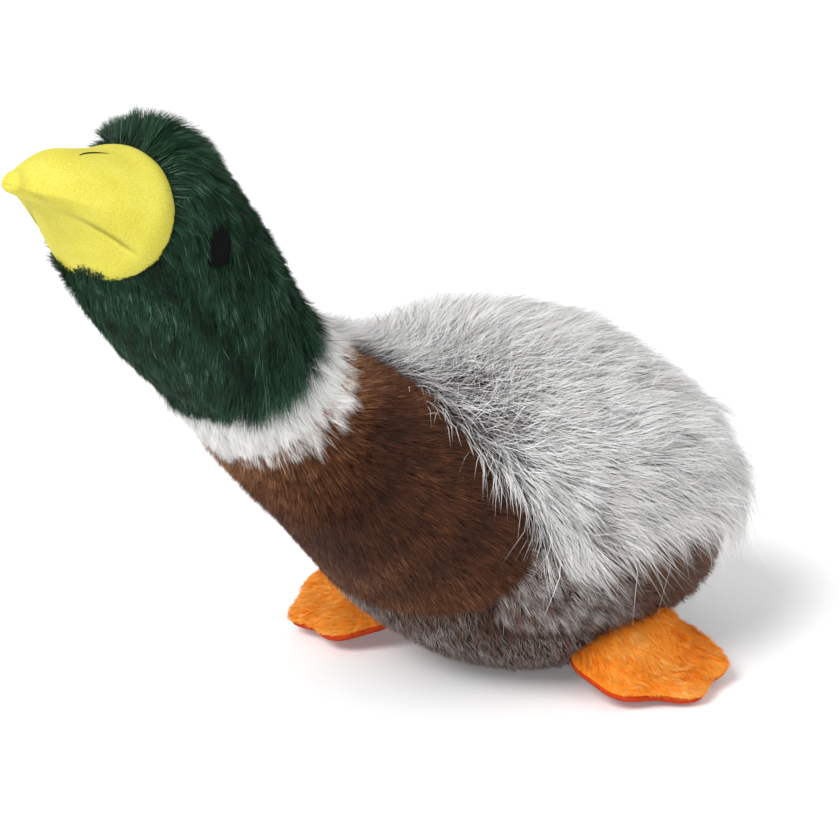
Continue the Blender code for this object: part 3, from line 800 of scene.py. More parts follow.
def stitched(name, spacing):
    """Embroidery thread laid side by side: darker bands at the thread spacing, hardly any gloss."""
    made, tree, shader = new_material(name, Roughness=0.8, Specular_IOR_Level=0.1)
    place = add(tree, "ShaderNodeTexCoord")
    thread = add(
        tree,
        "ShaderNodeTexWave",
        {"Vector": place.outputs["Object"], "Scale": 0.314 / spacing, "Distortion": 0.6, "Detail": 1.0},
        bands_direction="Y",
    )
    colour = add(tree, "ShaderNodeValToRGB", {0: thread.outputs[1]})
    set_stops(colour, [(0.0, linear("#030303")), (1.0, linear("#0d0d0e"))])
    tree.links.new(colour.outputs[0], shader.inputs["Base Color"])
    bump = add(
        tree,
        "ShaderNodeBump",
        {"Strength": 0.6, "Distance": 0.2 * MM, "Height": thread.outputs[1]},
    )
    tree.links.new(bump.outputs[0], shader.inputs["Normal"])
    return made


BLACK_THREAD = stitched("black_rayon_thread", 0.5 * MM)


# Cloth under the pile


def flank(name, side):
    """A chooser for the cells of a panel, on the left, on the right or on both sides."""

    def chosen(points):
        keep = inside(points, name)
        if side == "left":
            keep &= points[:, 0] > 0
        if side == "right":
            keep &= points[:, 0] <= 0
        return keep

    return chosen


SKINS = (
    ("back_cloth", "back", "both", "back_panel", "torso", LONG_CLOTH, "pale_long_pile", 0.75),
    ("base_cloth", "base", "both", "base_panel", "torso", GREY_CLOTH, "grey_plush", 0.75),
    ("belly_cloth_left", "belly", "left", "belly_panel_left", "torso", GREY_CLOTH, "grey_plush", 0.75),
    ("belly_cloth_right", "belly", "right", "belly_panel_right", "torso", GREY_CLOTH, "grey_plush", 0.75),
    ("breast_cloth_left", "breast", "left", "breast_panel_left", "torso", BROWN_CLOTH, "brown_plush", 0.8),
    ("breast_cloth_right", "breast", "right", "breast_panel_right", "torso", BROWN_CLOTH, "brown_plush", 0.8),
    ("collar_cloth", "collar", "both", "neck_collar", None, WHITE_CLOTH, "white_plush", 0.8),
    ("head_cloth_left", "head", "left", "head_panel_left", "head", GREEN_CLOTH, "green_plush", 0.8),
    ("head_cloth_right", "head", "right", "head_panel_right", "head", GREEN_CLOTH, "green_plush", 0.8),
)


def make_cloth():
    """The cloth of every plush panel, as closed shells in place of the CAD panels."""
    for name, region, side, node, body, material, slot, fill in SKINS:
        obj = new_piece(name, cloth_shell(name, flank(region, side)), material)
        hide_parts(node)
        if body:
            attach(obj, body)
        else:
            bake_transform(obj)


def make_filling():
    """Loose filling inside the cloth: lumpy closed lofts of the form, further in."""
    turn = 2 * np.pi * np.arange(40) / 40
    for name, low, high, body in (
        ("body_filling", 0.4, 8.75, "torso"),
        ("neck_filling", 9.25, 10.0, None),
        ("head_filling", 10.15, 14.6, "head"),
    ):
        along = np.linspace(low, high, 30)
        aa, bb = (g.ravel() for g in np.meshgrid(along, turn, indexing="ij"))
        points = form(aa, bb, FILLING_DEPTH, FILLING_LEVEL)
        points = form(aa, bb, FILLING_DEPTH + 0.7 * MM * waves(points, 14 * MM, 5), FILLING_LEVEL)
        obj = new_piece(name, tube_loft(name, points.reshape(30, 40, 3)), FILLING)
        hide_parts(name.replace("filling", "stuffing"))
        if body:
            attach(obj, body)
        else:
            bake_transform(obj)


# Headings of the pile


def bill_section(points):
    """Where points lie in the bill's frame: share along it, and how far out of its oval, from 0."""
    rows = np.array(BILL, float)
    rows[:, 1:] *= MM
    away = points - BILL_ROOT
    share = away @ BILL_AHEAD / BILL_LENGTH
    rise = away @ BILL_UP
    wide, above, below = (np.interp(share, rows[:, 0], rows[:, k]) for k in (1, 2, 3))
    tall = np.where(rise > 0, above, below)
    return share, np.sqrt((points[..., 0] / wide) ** 2 + (rise / tall) ** 2)


def green_way(points):
    """Down the neck and with gravity, away from the bill near it, and forward along it at the chin."""
    away = points - BILL_ROOT
    away = away - (away @ BILL_AHEAD)[:, None] * BILL_AHEAD
    away /= np.maximum(np.linalg.norm(away, axis=-1, keepdims=True), 1e-6)
    _, out = bill_section(points)
    near = np.exp(-np.clip(out - 1, 0, 9) / 0.22)[:, None]
    ahead = np.clip(neck_share(points) - 0.86, 0, 1)[:, None] * 4
    lie = -0.05 * UP_NECK + 0.9 * DOWN * (1 - 0.7 * near) + away * (0.7 * near + ahead)
    lip = chin(points)[:, None]
    lie = lie + 0.8 * brow(points)[:, None] * BILL_UP
    return lie * (1 - lip) + lip * (BILL_AHEAD + 0.1 * BILL_UP)


def white_way(points):
    """Down the neck."""
    return np.broadcast_to(-0.9 * UP_NECK + 0.25 * DOWN, points.shape)


def brown_way(points):
    """Back towards the rump and a little down."""
    return np.broadcast_to(np.array((0.0, 0.92, -0.38)), points.shape)


def long_way(points):
    """Back towards the rump, more downwards low on the flanks and along the shoulder seam."""
    low = ramp(118 * MM - points[:, 2], 45 * MM)
    seam = bell(seam_distance(points, ("shoulder",)), 16 * MM)
    seam *= np.clip(np.abs(points[:, 0]) / (40 * MM), 0, 1)
    down = 0.15 + 0.75 * low + 1.3 * seam
    side = np.sign(points[:, 0]) * 0.12
    return np.stack([side, 1.0 - 0.45 * seam, -down], -1)


def belly_way(points):
    """Back and down."""
    return np.broadcast_to(np.array((0.0, 0.8, -0.6)), points.shape)


def base_way(points):
    """Back and down, as on the belly."""
    return np.broadcast_to(np.array((0.0, 0.6, -0.8)), points.shape)


FORM_SPANS = ((0.0, FORM_LAST), (0.0, 2 * math.pi))


def even(value):
    """A spec entry that is the same everywhere."""
    return lambda points: np.full(len(points), value)


def lean_pair(low, high):
    """A strand's angle above the cloth at its root and at its tip, in radians."""
    return lambda points: (math.radians(low), math.radians(high))


def chin(points):
    """How near points are to the far cheek's lower front, where the fur stands out: a bell curve."""
    away = (points - np.array((-20, -228, 198)) * MM) * np.array((0.8, 1, 1))
    return bell(np.linalg.norm(away, axis=-1), 13 * MM)


def brow(points):
    """How near points are to the front of the crown, where the fur stands up: a bell curve."""
    away = points - np.array((0, -226, 236)) * MM
    return np.exp(-((np.linalg.norm(away * np.array((0.7, 1, 1)), axis=-1) / (14 * MM)) ** 2))


def beside_bill(points):
    """How near points are to the bill's base at the sides, where the fur lies flat: a bell curve."""
    _, out = bill_section(points)
    away = np.clip(out - 1, 0, 9) * 24 * MM
    return bell(away, 7 * MM) * (1 - chin(points)) * (1 - brow(points))


def green_length(points):
    """Longer at the lower edge, where it hangs over the collar, and shorter beside the bill."""
    share = neck_share(points)
    back = nape_reach(points)
    hem = ramp(0.40 - share, 0.14) * ramp(back + 35 * MM, 14 * MM)
    short = 2.0 * beside_bill(points) + 1.5 * throat(points) - 0.5 * brow(points)
    return (8.5 + 10.5 * hem + 0.5 * chin(points) + 1.5 * nape(points) - short) * MM


def throat(points):
    """From 0 on the neck's side to 1 at its front, where the fur lies close."""
    return ramp((NECK_ROOT - points) @ TO_NAPE - 14 * MM, 14 * MM) * (1 - chin(points))


def nape(points):
    """From 0 on the neck's side to 1 at the middle of its back, where the fur stands fuller."""
    share = neck_share(points)
    middle = 0.45 * bell(share - 0.54, 0.12) + 0.9 * bell(share - 0.94, 0.07)
    return ramp(nape_reach(points), 10 * MM) * middle


def green_lean(points):
    """Standing at the chin and the brow, lying flat beside the bill."""
    share = neck_share(points)
    hem = ramp(0.40 - share, 0.14) * ramp(nape_reach(points), 10 * MM)
    up = 9 * chin(points) + 16 * brow(points) + 5 * beside_bill(points)
    up = up + 17 * nape(points) - 8 * throat(points) - 9 * hem
    return np.radians(19 + up), np.radians(19 + up)


def off_bill(points):
    """Roots outside the bill's oval and outside the eyes."""
    share, out = bill_section(points)
    over = (points - BILL_ROOT) @ BILL_UP > 0
    near_low = (points[:, 0] > 0) & ((points - BILL_ROOT) @ BILL_UP < 4 * MM)
    covered = (out < 0.975 - 0.05 * near_low) & (share > -0.45)
    covered |= over & (share > 0.02 - 0.016 * np.clip(-points[:, 0] / MM, 0, 16))
    return inside(points, "head") & ~covered & ~in_eye(points, 0.92)


def in_eye(points, scale):
    """Points over an eye's oval, seen from the side."""
    along = (points[..., 1] - EYE_PLACE[0]) / (EYE_HALF[0] * scale)
    rise = (points[..., 2] - EYE_PLACE[1]) / (EYE_HALF[1] * scale)
    return (along**2 + rise**2 < 1) & (np.abs(points[..., 0]) > 20 * MM)


def clear_of_face(path):
    """Strands that keep their outer halves off the eyes and the bill."""
    keep = np.ones(len(path), bool)
    for step in range(1, path.shape[1]):
        _, out = bill_section(path[:, step])
        share = (path[:, step] - BILL_ROOT) @ BILL_AHEAD / BILL_LENGTH
        keep &= ~((out < 1.0) & (share > -0.3))
        keep &= ~in_eye(path[:, step], 0.76)
    return keep


def green_tone(points, tones, rng):
    """Painted shade: darker down the crease beside the throat."""
    return tones - 0.30 * throat_crease(points) / (1.6 * MM)


def white_length(points):
    """Longer on the neck's side and nape than at the throat."""
    back = nape_reach(points)
    return (10.5 + 5.7 * ramp(back + 34 * MM, 18 * MM)) * MM


def brown_lean(points):
    """Fluffier at the front under the collar, flat elsewhere."""
    front = ramp(-128 * MM - points[:, 1], 14 * MM)
    front = front * ramp(points[:, 2] - 82 * MM, 12 * MM)
    low = ramp(78 * MM - points[:, 2], 14 * MM)
    return np.radians(15 + 30 * front - 4 * low), np.radians(15 + 30 * front - 4 * low)


def long_length(points):
    """Longer towards the rump and at its lower edge, shorter at the shoulder and at the very rear."""
    back = ramp(points[:, 1] + 120 * MM, 160 * MM)
    edge = ramp(points[:, 1] + 78 * MM, 20 * MM) * ramp(95 * MM - points[:, 2], 14 * MM)
    rear = ramp(points[:, 1] - 48 * MM, 26 * MM)
    top = ramp(points[:, 1] + 10 * MM, 30 * MM) * ramp(points[:, 2] - 120 * MM, 10 * MM)
    return (20 + 12 * back + 14 * edge * (1 - 0.9 * rear) - 11 * rear - 3 * tangled(points) - 5 * top) * MM


def long_lean(points):
    """Standing more at the shoulder patch, where the hairs part, and lying flat elsewhere."""
    patch = shoulder_patch(points)
    front = ramp(-38 * MM - points[:, 1], 30 * MM) * ramp(points[:, 2] - 138 * MM, 8 * MM)
    flank = ramp(points[:, 1] - 10 * MM, 40 * MM) * ramp(118 * MM - points[:, 2], 15 * MM)
    flank = flank * ramp(points[:, 2] - 70 * MM, 15 * MM)
    top = ramp(points[:, 1] + 10 * MM, 30 * MM) * ramp(points[:, 2] - 120 * MM, 10 * MM)
    mess = tangled(points)
    low = 16 + 8 * patch + 10 * mess + 22 * front + 9 * flank - 11 * top
    return np.radians(low), np.radians(3 + 8 * mess + 19 * front + 8 * flank - 3 * top)


def shoulder_patch(points):
    """How near points are to the parted patch behind the shoulder, on both sides: a bell curve."""
    away = np.linalg.norm((points - np.array((0, -90, 131)) * MM)[:, 1:], axis=-1)
    side = ramp(np.abs(points[:, 0]) - 15 * MM, 15 * MM)
    return side * bell(away, 13 * MM)


def tangled(points):
    """How near points are to the tangled hairs at the front of the back: a bell curve."""
    away = np.linalg.norm((points - np.array((0, -90, 141)) * MM)[:, 1:], axis=-1)
    return bell(away, 35 * MM)


def long_tone(points, tones, rng):
    """Mostly near white, with a few dark guard hairs, and many more dark strands in the tangled zone and the
    parted patch, painted shade in the gaps between the hairs.
    """
    dark = rng.uniform(0, 1, len(points)) < 0.012 + 0.13 * tangled(points) + 0.20 * shoulder_patch(points)
    return np.where(dark, 0.07 * rng.uniform(0, 1, len(points)), 0.12 + 0.88 * tones)


def under_tone(points, tones, rng):
    """The undercoat's dark end of the same fibre."""
    return 0.075 * tones


def brown_tone(points, tones, rng):
    """Painted light and shade: lighter at the top corner, low on the breast and at its front, darker between,
    as the light falls on the pile.
    """
    top = ramp(points[:, 2] - 132 * MM, 16 * MM)
    low = ramp(80 * MM - points[:, 2], 30 * MM)
    front = ramp(-136 * MM - points[:, 1], 26 * MM)
    return tones + 0.42 * top + 0.26 * low + 0.46 * front - 0.22


def behind_shoulder(points):
    """Density of back roots: none right behind the shoulder seam, so that the brown keeps its
    edge, and fewer in the parted patch."""
    gap = (1.4 + 3.6 * ramp(118 * MM - points[:, 2], 16 * MM)) * MM
    kept = inside(points, "back") & (seam_distance(points, ("shoulder",)) > gap)
    return kept * (1 - 0.36 * tangled(points) - 0.38 * shoulder_patch(points))


def base_seam_shade(points):
    """Painted shade: how much darker the pile is in the crease beside the base seam."""
    return 0.35 * bell(seam_distance(points, ("base_seam",)), 3 * MM)


def belly_tone(points, tones, rng):
    """Grey ahead and browner towards the rump, mottled, with painted shade beside the base seam."""
    rear = ramp(points[:, 1] + 48 * MM, 34 * MM)
    mottled = np.clip(tones + 0.20 * waves(points, 9 * MM, 31) + 0.06, 0, 1)
    return mottled * (1 - rear) + (0.03 + 0.32 * tones) * rear - base_seam_shade(points)


def base_tone(points, tones, rng):
    """A little darker than the belly, and darkest beside the seam with painted shade."""
    return 0.85 * tones - base_seam_shade(points)


def belly_length(points):
    """Longer towards the rump, in mm."""
    return (7.5 + 2.5 * ramp(points[:, 1] - 10 * MM, 40 * MM)) * MM


def belly_lean(points):
    """Standing more just above the base seam, so that the belly bulges over it."""
    over = np.exp(-(((seam_distance(points, ("base_seam",)) - 7 * MM) / (5 * MM)) ** 2))
    return np.radians(17 + 16 * over), np.radians(17 + 16 * over)


GREEN_PILE = {
    "count": 100000,
    "steps": 1,
    "length": green_length,
    "width": 0.27 * MM,
    "lean": green_lean,
    "lean_spread": 0.10,
    "tuft": 2.6 * MM,
    "tuft_yaw": 0.14,
    "yaw": 0.13,
    "tuft_lean": 0.07,
    "draw": 0.30,
    "tuft_tone": 0.10,
    "own_tone": 0.24,
    "tone": green_tone,
    "clear": clear_of_face,
}
WHITE_PILE = {
    "count": 20000,
    "steps": 1,
    "length": white_length,
    "width": 0.34 * MM,
    "lean": lean_pair(15, 15),
    "lean_spread": 0.10,
    "tuft": 3.4 * MM,
    "tuft_yaw": 0.18,
    "yaw": 0.14,
    "tuft_lean": 0.07,
    "draw": 0.5,
    "tuft_tone": 0.14,
    "own_tone": 0.15,
}
BROWN_PILE = {
    "count": 78000,
    "steps": 1,
    "length": even(6.2 * MM),
    "width": 0.29 * MM,
    "lean": brown_lean,
    "lean_spread": 0.08,
    "tuft": 2.6 * MM,
    "tuft_yaw": 0.10,
    "yaw": 0.12,
    "tuft_lean": 0.05,
    "draw": 0.2,
    "tuft_tone": 0.08,
    "own_tone": 0.21,
    "tone": brown_tone,
}
LONG_PILE = {
    "count": 58000,
    "steps": 2,
    "length": long_length,
    "width": 0.25 * MM,
    "lean": long_lean,
    "lean_spread": 0.08,
    "tuft": 5.0 * MM,
    "tuft_yaw": 0.15,
    "yaw": 0.15,
    "bend": 0.12,
    "tuft_lean": 0.10,
    "stray": 0.03,
    "draw": 0.30,
    "wild": lambda points: 1.1 * tangled(points),
    "tuft_tone": 0.14,
    "own_tone": 0.15,
    "tone": long_tone,
}
UNDER_PILE = {
    "count": 13000,
    "steps": 1,
    "length": even(11.0 * MM),
    "width": 0.40 * MM,
    "lean": lean_pair(20, 20),
    "lean_spread": 0.10,
    "tuft": 4.5 * MM,
    "tuft_yaw": 0.30,
    "yaw": 0.25,
    "tuft_lean": 0.08,
    "draw": 0.3,
    "tuft_tone": 0.14,
    "own_tone": 0.15,
    "tone": under_tone,
}
BELLY_PILE = {
    "count": 30000,
    "steps": 1,
    "length": belly_length,
    "width": 0.36 * MM,
    "lean": belly_lean,
    "lean_spread": 0.10,
    "tuft": 3.4 * MM,
    "tuft_yaw": 0.26,
    "yaw": 0.18,
    "tuft_lean": 0.07,
    "draw": 0.4,
    "tuft_tone": 0.13,
    "own_tone": 0.16,
    "tone": belly_tone,
}
BASE_PILE = {
    "count": 18000,
    "steps": 1,
    "length": even(6.0 * MM),
    "width": 0.36 * MM,
    "lean": lean_pair(18, 18),
    "lean_spread": 0.10,
    "tuft": 3.2 * MM,
    "tuft_yaw": 0.22,
    "yaw": 0.16,
    "tuft_lean": 0.06,
    "draw": 0.35,
    "tuft_tone": 0.12,
    "own_tone": 0.15,
    "tone": base_tone,
}


def above_floor(points):
    """Base roots off the flat that the duck sits on."""
    return inside(points, "base") & (points[:, 2] > 1.6 * MM)


def make_pile():
    """The pile of every plush panel of the body, collar and head."""
    jobs = (
        ("head_pile", off_bill, GREEN_PILE, green_way, "head", "green_plush", GREEN_FIBRE),
        ("collar_pile", flank("collar", "both"), WHITE_PILE, white_way, None, "white_plush", WHITE_FIBRE),
        ("breast_pile", flank("breast", "both"), BROWN_PILE, brown_way, "torso", "brown_plush", BROWN_FIBRE),
        ("back_pile", behind_shoulder, LONG_PILE, long_way, "torso", "pale_long_pile", LONG_FIBRE),
        ("belly_pile", flank("belly", "both"), BELLY_PILE, belly_way, "torso", "grey_plush", GREY_FIBRE),
        ("base_pile", above_floor, BASE_PILE, base_way, "torso", "grey_plush", GREY_FIBRE),
        ("back_undercoat", behind_shoulder, UNDER_PILE, long_way, "torso", "pale_long_pile", LONG_FIBRE),
    )
    for index, (name, chosen, spec, way, body, slot, material) in enumerate(jobs):
        made = pile(
            name,
            form,
            FORM_SIDE,
            FORM_SPANS,
            chosen,
            spec,
            way,
            body,
            material,
            100 * index + 7,
            seam_pull,
        )
        for obj in made:
            if not body:
                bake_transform(obj)


# Bill


def bill_rows(count):
    """The bill's sections at even steps from inside the head to its tip, on a smooth curve."""
    rows = np.array(BILL, float)
    rows[:, 1:] *= MM
    return spline(rows, np.linspace(0, len(rows) - 1, count))


def mouth_height(share):
    """Height of the mouth over the bill's own line, at a share of the bill's length: a parabola."""
    along = share * BILL_LENGTH / MM
    level, slope, bend = MOUTH_CURVE
    return (level + slope * along + bend * along**2) * MM


def bill_half(name, upper):
    """One cloth half of the bill: an arc of each oval section from mouth corner to mouth corner,
    drawn in towards the seam, and closed by a chord along the mouth. The draw is a bell curve of
    the distance to the seam, tight on the upper lip and deep on the lower half, whose underside
    narrows to a blunt keel, much more on its far side."""
    rows = bill_rows(64)
    arc, chord = 88, 16
    share, wide, above, below = rows.T
    level = mouth_height(share)
    tall = np.where(level > 0, above, below)
    sine = np.clip(level / np.maximum(tall, 1e-6), -0.97, 0.97)
    start = np.arcsin(sine)[:, None]
    level = (sine * tall)[:, None]
    t = 0.5 - 0.5 * np.cos(math.pi * np.linspace(0, 1, arc))
    turn = start + (math.pi - 2 * start) * t if upper else start - (math.pi + 2 * start) * t
    rise = np.sin(turn)
    lift = np.where(rise > 0, above[:, None], below[:, None]) * rise
    depth, width = (0.05, 0.6 * MM) if upper else (0.08, 1.1 * MM)
    jaw = below[:, None] + level
    fade = (np.clip((share + 0.02) / 0.14, 0, 1) * np.clip((0.97 - share) / 0.2, 0, 1))[:, None]
    fade = fade * np.clip(jaw / (3 * MM), 0, 1)
    roll = 1 - depth * fade * np.exp(-(((lift - level) / width) ** 2))
    far = np.where(np.cos(turn) < 0, 0.42 * np.clip((0.5 - share[:, None]) / 0.2, 0, 1), 0.16)
    keel = 1 if upper else 1 - far * fade * np.clip((level - lift) / np.maximum(jaw, 1e-6), 0, 1) ** 2
    x = wide[:, None] * np.cos(turn) * roll * keel
    cut = np.linspace(0, 1, chord + 2)[1:-1]
    back_x = x[:, -1:] + (x[:, :1] - x[:, -1:]) * cut
    back_z = np.broadcast_to(level, back_x.shape)
    x = np.concatenate([x, back_x], 1)
    lift = np.concatenate([lift, back_z], 1)
    rings = BILL_ROOT + (share * BILL_LENGTH)[:, None, None] * BILL_AHEAD + lift[..., None] * BILL_UP
    rings[..., 0] += x
    mesh = tube_loft(name, rings)
    # Painted shade: the crease attribute darkens the velour along the mouth's seam.
    near = bell(np.abs(lift - level), 0.42 * MM) * fade
    crease_shade = np.concatenate([near.ravel(), [0.0, 0.0]])
    mesh.attributes.new("crease", "FLOAT", "POINT").data.foreach_set("value", crease_shade.astype(np.float32))
    return mesh


def bill_top(x, share):
    """Height of the upper bill over its own line at X and a share of its length."""
    rows = bill_rows(200)
    wide, above = (np.interp(share, rows[:, 0], rows[:, k]) for k in (1, 2))
    return above * np.sqrt(np.clip(1 - (x / wide) ** 2, 0, 1))


def make_bill():
    """The bill's two velour halves, its filling and the stitched nostrils."""
    for name, upper in (("bill_upper", True), ("bill_lower", False)):
        obj = new_piece(name, bill_half(name, upper), YELLOW_VELOUR)
        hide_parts("upper_bill" if upper else "lower_bill")
        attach(obj, "head")
    turn = 2 * np.pi * np.arange(24) / 24
    rows = bill_rows(20)[:17]
    wide, above, below = (np.maximum(rows[:, k] - 4.6 * MM, 0.4 * MM) for k in (1, 2, 3))
    tall = np.where(np.sin(turn) > 0, above[:, None], below[:, None]) * np.sin(turn)
    rings = BILL_ROOT + (rows[:, 0] * BILL_LENGTH)[:, None, None] * BILL_AHEAD + tall[..., None] * BILL_UP
    rings[..., 0] += wide[:, None] * np.cos(turn)
    obj = new_piece("bill_filling", tube_loft("bill_filling", rings), FILLING)
    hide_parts("bill_stuffing")
    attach(obj, "head")
    for side, sign in (("left", 1), ("right", -1)):
        t = np.linspace(0, 1, 25)
        share = 0.19 + 0.32 * t
        x = sign * (8.0 - 1.6 * np.sin(math.pi * t)) * MM
        top = bill_top(x, share) - 0.22 * MM
        line = BILL_ROOT + (share * BILL_LENGTH)[:, None] * BILL_AHEAD + top[:, None] * BILL_UP
        line[:, 0] += x
        thick = 0.62 * MM * np.sin(math.pi * (0.04 + 0.92 * t)) ** 0.6
        round_it = 2 * np.pi * np.arange(10) / 10
        rings = line[:, None] + thick[:, None, None] * 0.8 * np.sin(round_it)[:, None] * BILL_UP
        rings[..., 0] += thick[:, None] * np.cos(round_it)
        obj = new_piece(f"nostril_stitch_{side}", tube_loft("nostril", rings), BLACK_THREAD)
        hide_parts(f"nostril_{side}")
        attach(obj, "head")


# Eyes


def under_pile(along, turn):
    """The form at the depth where the eyes are sewn on."""
    return form(along, turn, EYE_DEPTH)


def make_eyes():
    """Satin-stitched ovals on the sides of the head: a shallow dome bent to the form, ridged by
    its threads, with a flat back sunk in the pile."""
    along, turn = np.linspace(10, 15, 240), np.linspace(-1.2, 1.2, 240)
    a, b = (g.ravel() for g in np.meshgrid(along, turn, indexing="ij"))
    flat = under_pile(a, b)[:, 1:]
    near = np.argmin(np.linalg.norm(flat - EYE_PLACE, axis=-1))
    spot = slice(near, near + 1)
    centre, _, _, normal = frame_at(under_pile, a[spot], b[spot], FORM_SIDE)
    normal = normal[0]
    upward = np.array((0, 0, 1.0)) - normal * normal[2]
    upward /= np.linalg.norm(upward)
    across = np.cross(upward, normal)
    rows, columns = 26, 64
    share = np.linspace(0.02, 1, rows)[:, None]
    turn = 2 * np.pi * np.arange(columns) / columns
    u, v = EYE_HALF[0] * share * np.cos(turn), EYE_HALF[1] * share * np.sin(turn)
    dome = 1.1 * MM * (1 - share**2.4) - (u**2 + v**2) / (2 * 34 * MM) * 0.9
    dome = dome + 0.10 * MM * np.abs(np.sin(u / (0.5 * MM) * math.pi)) * (1 - share**6)
    face = centre[0] + u[..., None] * across + v[..., None] * upward + dome[..., None] * normal
    under = face[::-1] - normal * 1.6 * MM - dome[::-1, :, None] * normal * 0.6
    rings = np.concatenate([face, under])
    for side, sign in (("left", 1), ("right", -1)):
        turned = rings * np.array((sign, 1, 1))
        obj = new_piece(f"eye_stitch_{side}", tube_loft("eye", turned), BLACK_THREAD)
        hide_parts(f"eye_{side}")
        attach(obj, "head")


# Feet


def foot_matrix(side):
    """The foot's place: its sewn edge, then heading, droop and roll, as a 4 by 4 matrix."""
    x, y, heading, droop, roll = FEET[side]
    sign = 1 if side == "left" else -1
    droop, roll = math.radians(droop), math.radians(sign * roll)
    lift = FOOT_SIZE[0] * math.sin(droop) * 0.90 + 0.12 * FOOT_SIZE[2]
    lift += FOOT_SIZE[1] / 2 * math.sin(abs(roll))
    turn = math.radians(-heading if sign > 0 else 180 + heading)
    c, s = math.cos(turn), math.sin(turn)
    about_z = np.array(((c, -s, 0), (s, c, 0), (0, 0, 1)))
    c, s = math.cos(droop), math.sin(droop)
    about_y = np.array(((c, 0, s), (0, 1, 0), (-s, 0, c)))
    c, s = math.cos(roll), math.sin(roll)
    about_x = np.array(((1, 0, 0), (0, c, -s), (0, s, c)))
    spin = about_z @ about_y @ about_x
    return spin, np.array((sign * x * MM, y * MM, lift)) + spin @ np.array((FOOT_SIZE[0] / 2, 0, 0))


def foot_edge(turn):
    """Share of the full outline at a turn: notches between three toes, fading towards the heel."""
    return 1 - 0.16 * (1 - np.cos(6 * turn)) / 2 * ((1 + np.cos(turn)) / 2) ** 1.5


ROOT_RISE = {"left": 15 * MM, "right": 4 * MM}


def foot_upper(side):
    """The foot's upper surface over a unit disc: its outline shrinks with the disc, and its height
    falls from a crown to the edge, with a shallow channel towards each notch."""
    spin, centre = foot_matrix(side)

    def surface(u, v):
        radius = np.hypot(u, v)
        turn = np.arctan2(v, u)
        edge = foot_edge(turn)
        x = radius * edge * FOOT_SIZE[0] / 2 * np.cos(turn)
        y = radius * edge * FOOT_SIZE[1] / 2 * np.sin(turn)
        crown = np.sqrt(np.clip(1 - radius**3.2, 0, 1))
        ahead = ((1 + np.cos(turn)) / 2) ** 1.5
        channel = 1.3 * MM * (1 - np.cos(6 * turn)) / 2 * ahead * radius * crown
        root = ramp(0.65 - 2 * x / FOOT_SIZE[0], 0.85) * ramp(0.8 - 2 * y / FOOT_SIZE[1], 0.7)
        root = crown * root**2 * (3 - 2 * root)
        z = 3.8 * MM + (FOOT_SIZE[2] - 5.8 * MM) * crown - channel + ROOT_RISE[side] * root
        return np.stack([x, y, z], -1) @ spin.T + centre

    return surface


def make_feet():
    """Each foot's plush top and the velour sole with a thin rolled edge."""
    for side, seed in (("left", 900), ("right", 950)):
        spin, centre = foot_matrix(side)
        upper = foot_upper(side)
        rows, columns = 30, 96
        share = np.linspace(0.02, 1, rows)[:, None] ** 0.8
        turn = 2 * np.pi * np.arange(columns) / columns
        u, v = (share * np.cos(turn)).ravel(), (share * np.sin(turn)).ravel()
        top = upper(u, v).reshape(rows, columns, 3)
        low = np.full((rows, columns), 3.4 * MM)
        under = np.stack([*foot_flat(share[::-1], turn), low], -1) @ spin.T + centre
        obj = new_piece(f"foot_cloth_{side}", tube_loft("foot", np.concatenate([top, under])), ORANGE_CLOTH)
        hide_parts(f"foot_top_{side}", f"foot_stuffing_{side}")
        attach(obj, f"{side}_foot")
        ring = np.array(SOLE_RING)
        x, y = foot_flat(ring[:, :1], turn)
        local = np.stack([x, y, np.broadcast_to(ring[:, 1:] * MM, x.shape)], -1)
        obj = new_piece(f"foot_under_{side}", tube_loft("sole", local @ spin.T + centre), RED_VELOUR)
        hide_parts(f"foot_sole_{side}")
        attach(obj, f"{side}_foot")
        outward = spin @ np.array((1.0, 0, 0))
        pile(
            f"foot_pile_{side}",
            upper,
            1.0,
            ((-1.0, 1.0), (-1.0, 1.0)),
            foot_roots(side),
            FOOT_PILE,
            lambda points, outward=outward: np.broadcast_to(outward + 0.3 * DOWN, points.shape),
            f"{side}_foot",
            ORANGE_FIBRE,
            seed,
        )


def foot_flat(share, turn):
    """X and Y of the foot's outline shrunk by a share, with the notches fading inwards."""
    edge = 1 - (1 - foot_edge(turn)) * share
    return share * edge * FOOT_SIZE[0] / 2 * np.cos(turn), share * edge * FOOT_SIZE[1] / 2 * np.sin(turn)


def foot_roots(side):
    """Roots on the foot's upper surface, just inside its outline."""
    spin, centre = foot_matrix(side)

    def chosen(points):
        local = (points - centre) @ spin
        reach = np.hypot(local[:, 0] / (FOOT_SIZE[0] / 2), local[:, 1] / (FOOT_SIZE[1] / 2))
        turn = np.arctan2(local[:, 1] / FOOT_SIZE[1], local[:, 0] / FOOT_SIZE[0])
        return reach < 0.985 * foot_edge(turn)

    return chosen


# The sole's section from its middle, round its edge and back: share of the outline, height in mm.
SOLE_RING = ((0.02, 0.0), (0.45, 0.0), (0.70, 0.05), (0.86, 0.45), (0.95, 1.2), (1.0, 2.3), (1.015, 3.5))
SOLE_RING += ((0.995, 4.5), (0.94, 4.6), (0.5, 4.0), (0.02, 4.0))

FOOT_PILE = {
    "count": 20000,
    "steps": 1,
    "length": even(5.2 * MM),
    "width": 0.36 * MM,
    "lean": lean_pair(24, 24),
    "lean_spread": 0.12,
    "tuft": 2.6 * MM,
    "tuft_yaw": 0.25,
    "yaw": 0.22,
    "tuft_lean": 0.08,
    "draw": 0.25,
    "tuft_tone": 0.10,
    "own_tone": 0.20,
}


# Camera, floor and light


# The camera: sensor in mm, place in metres, then width of view, turn down and turn round in degrees.
CAMERA_SENSOR = 36
CAMERA_PLACE = (0.531074, -0.682281, 0.330453)
CAMERA_FIELD = 22
CAMERA_DOWN = 15
CAMERA_ROUND = 41


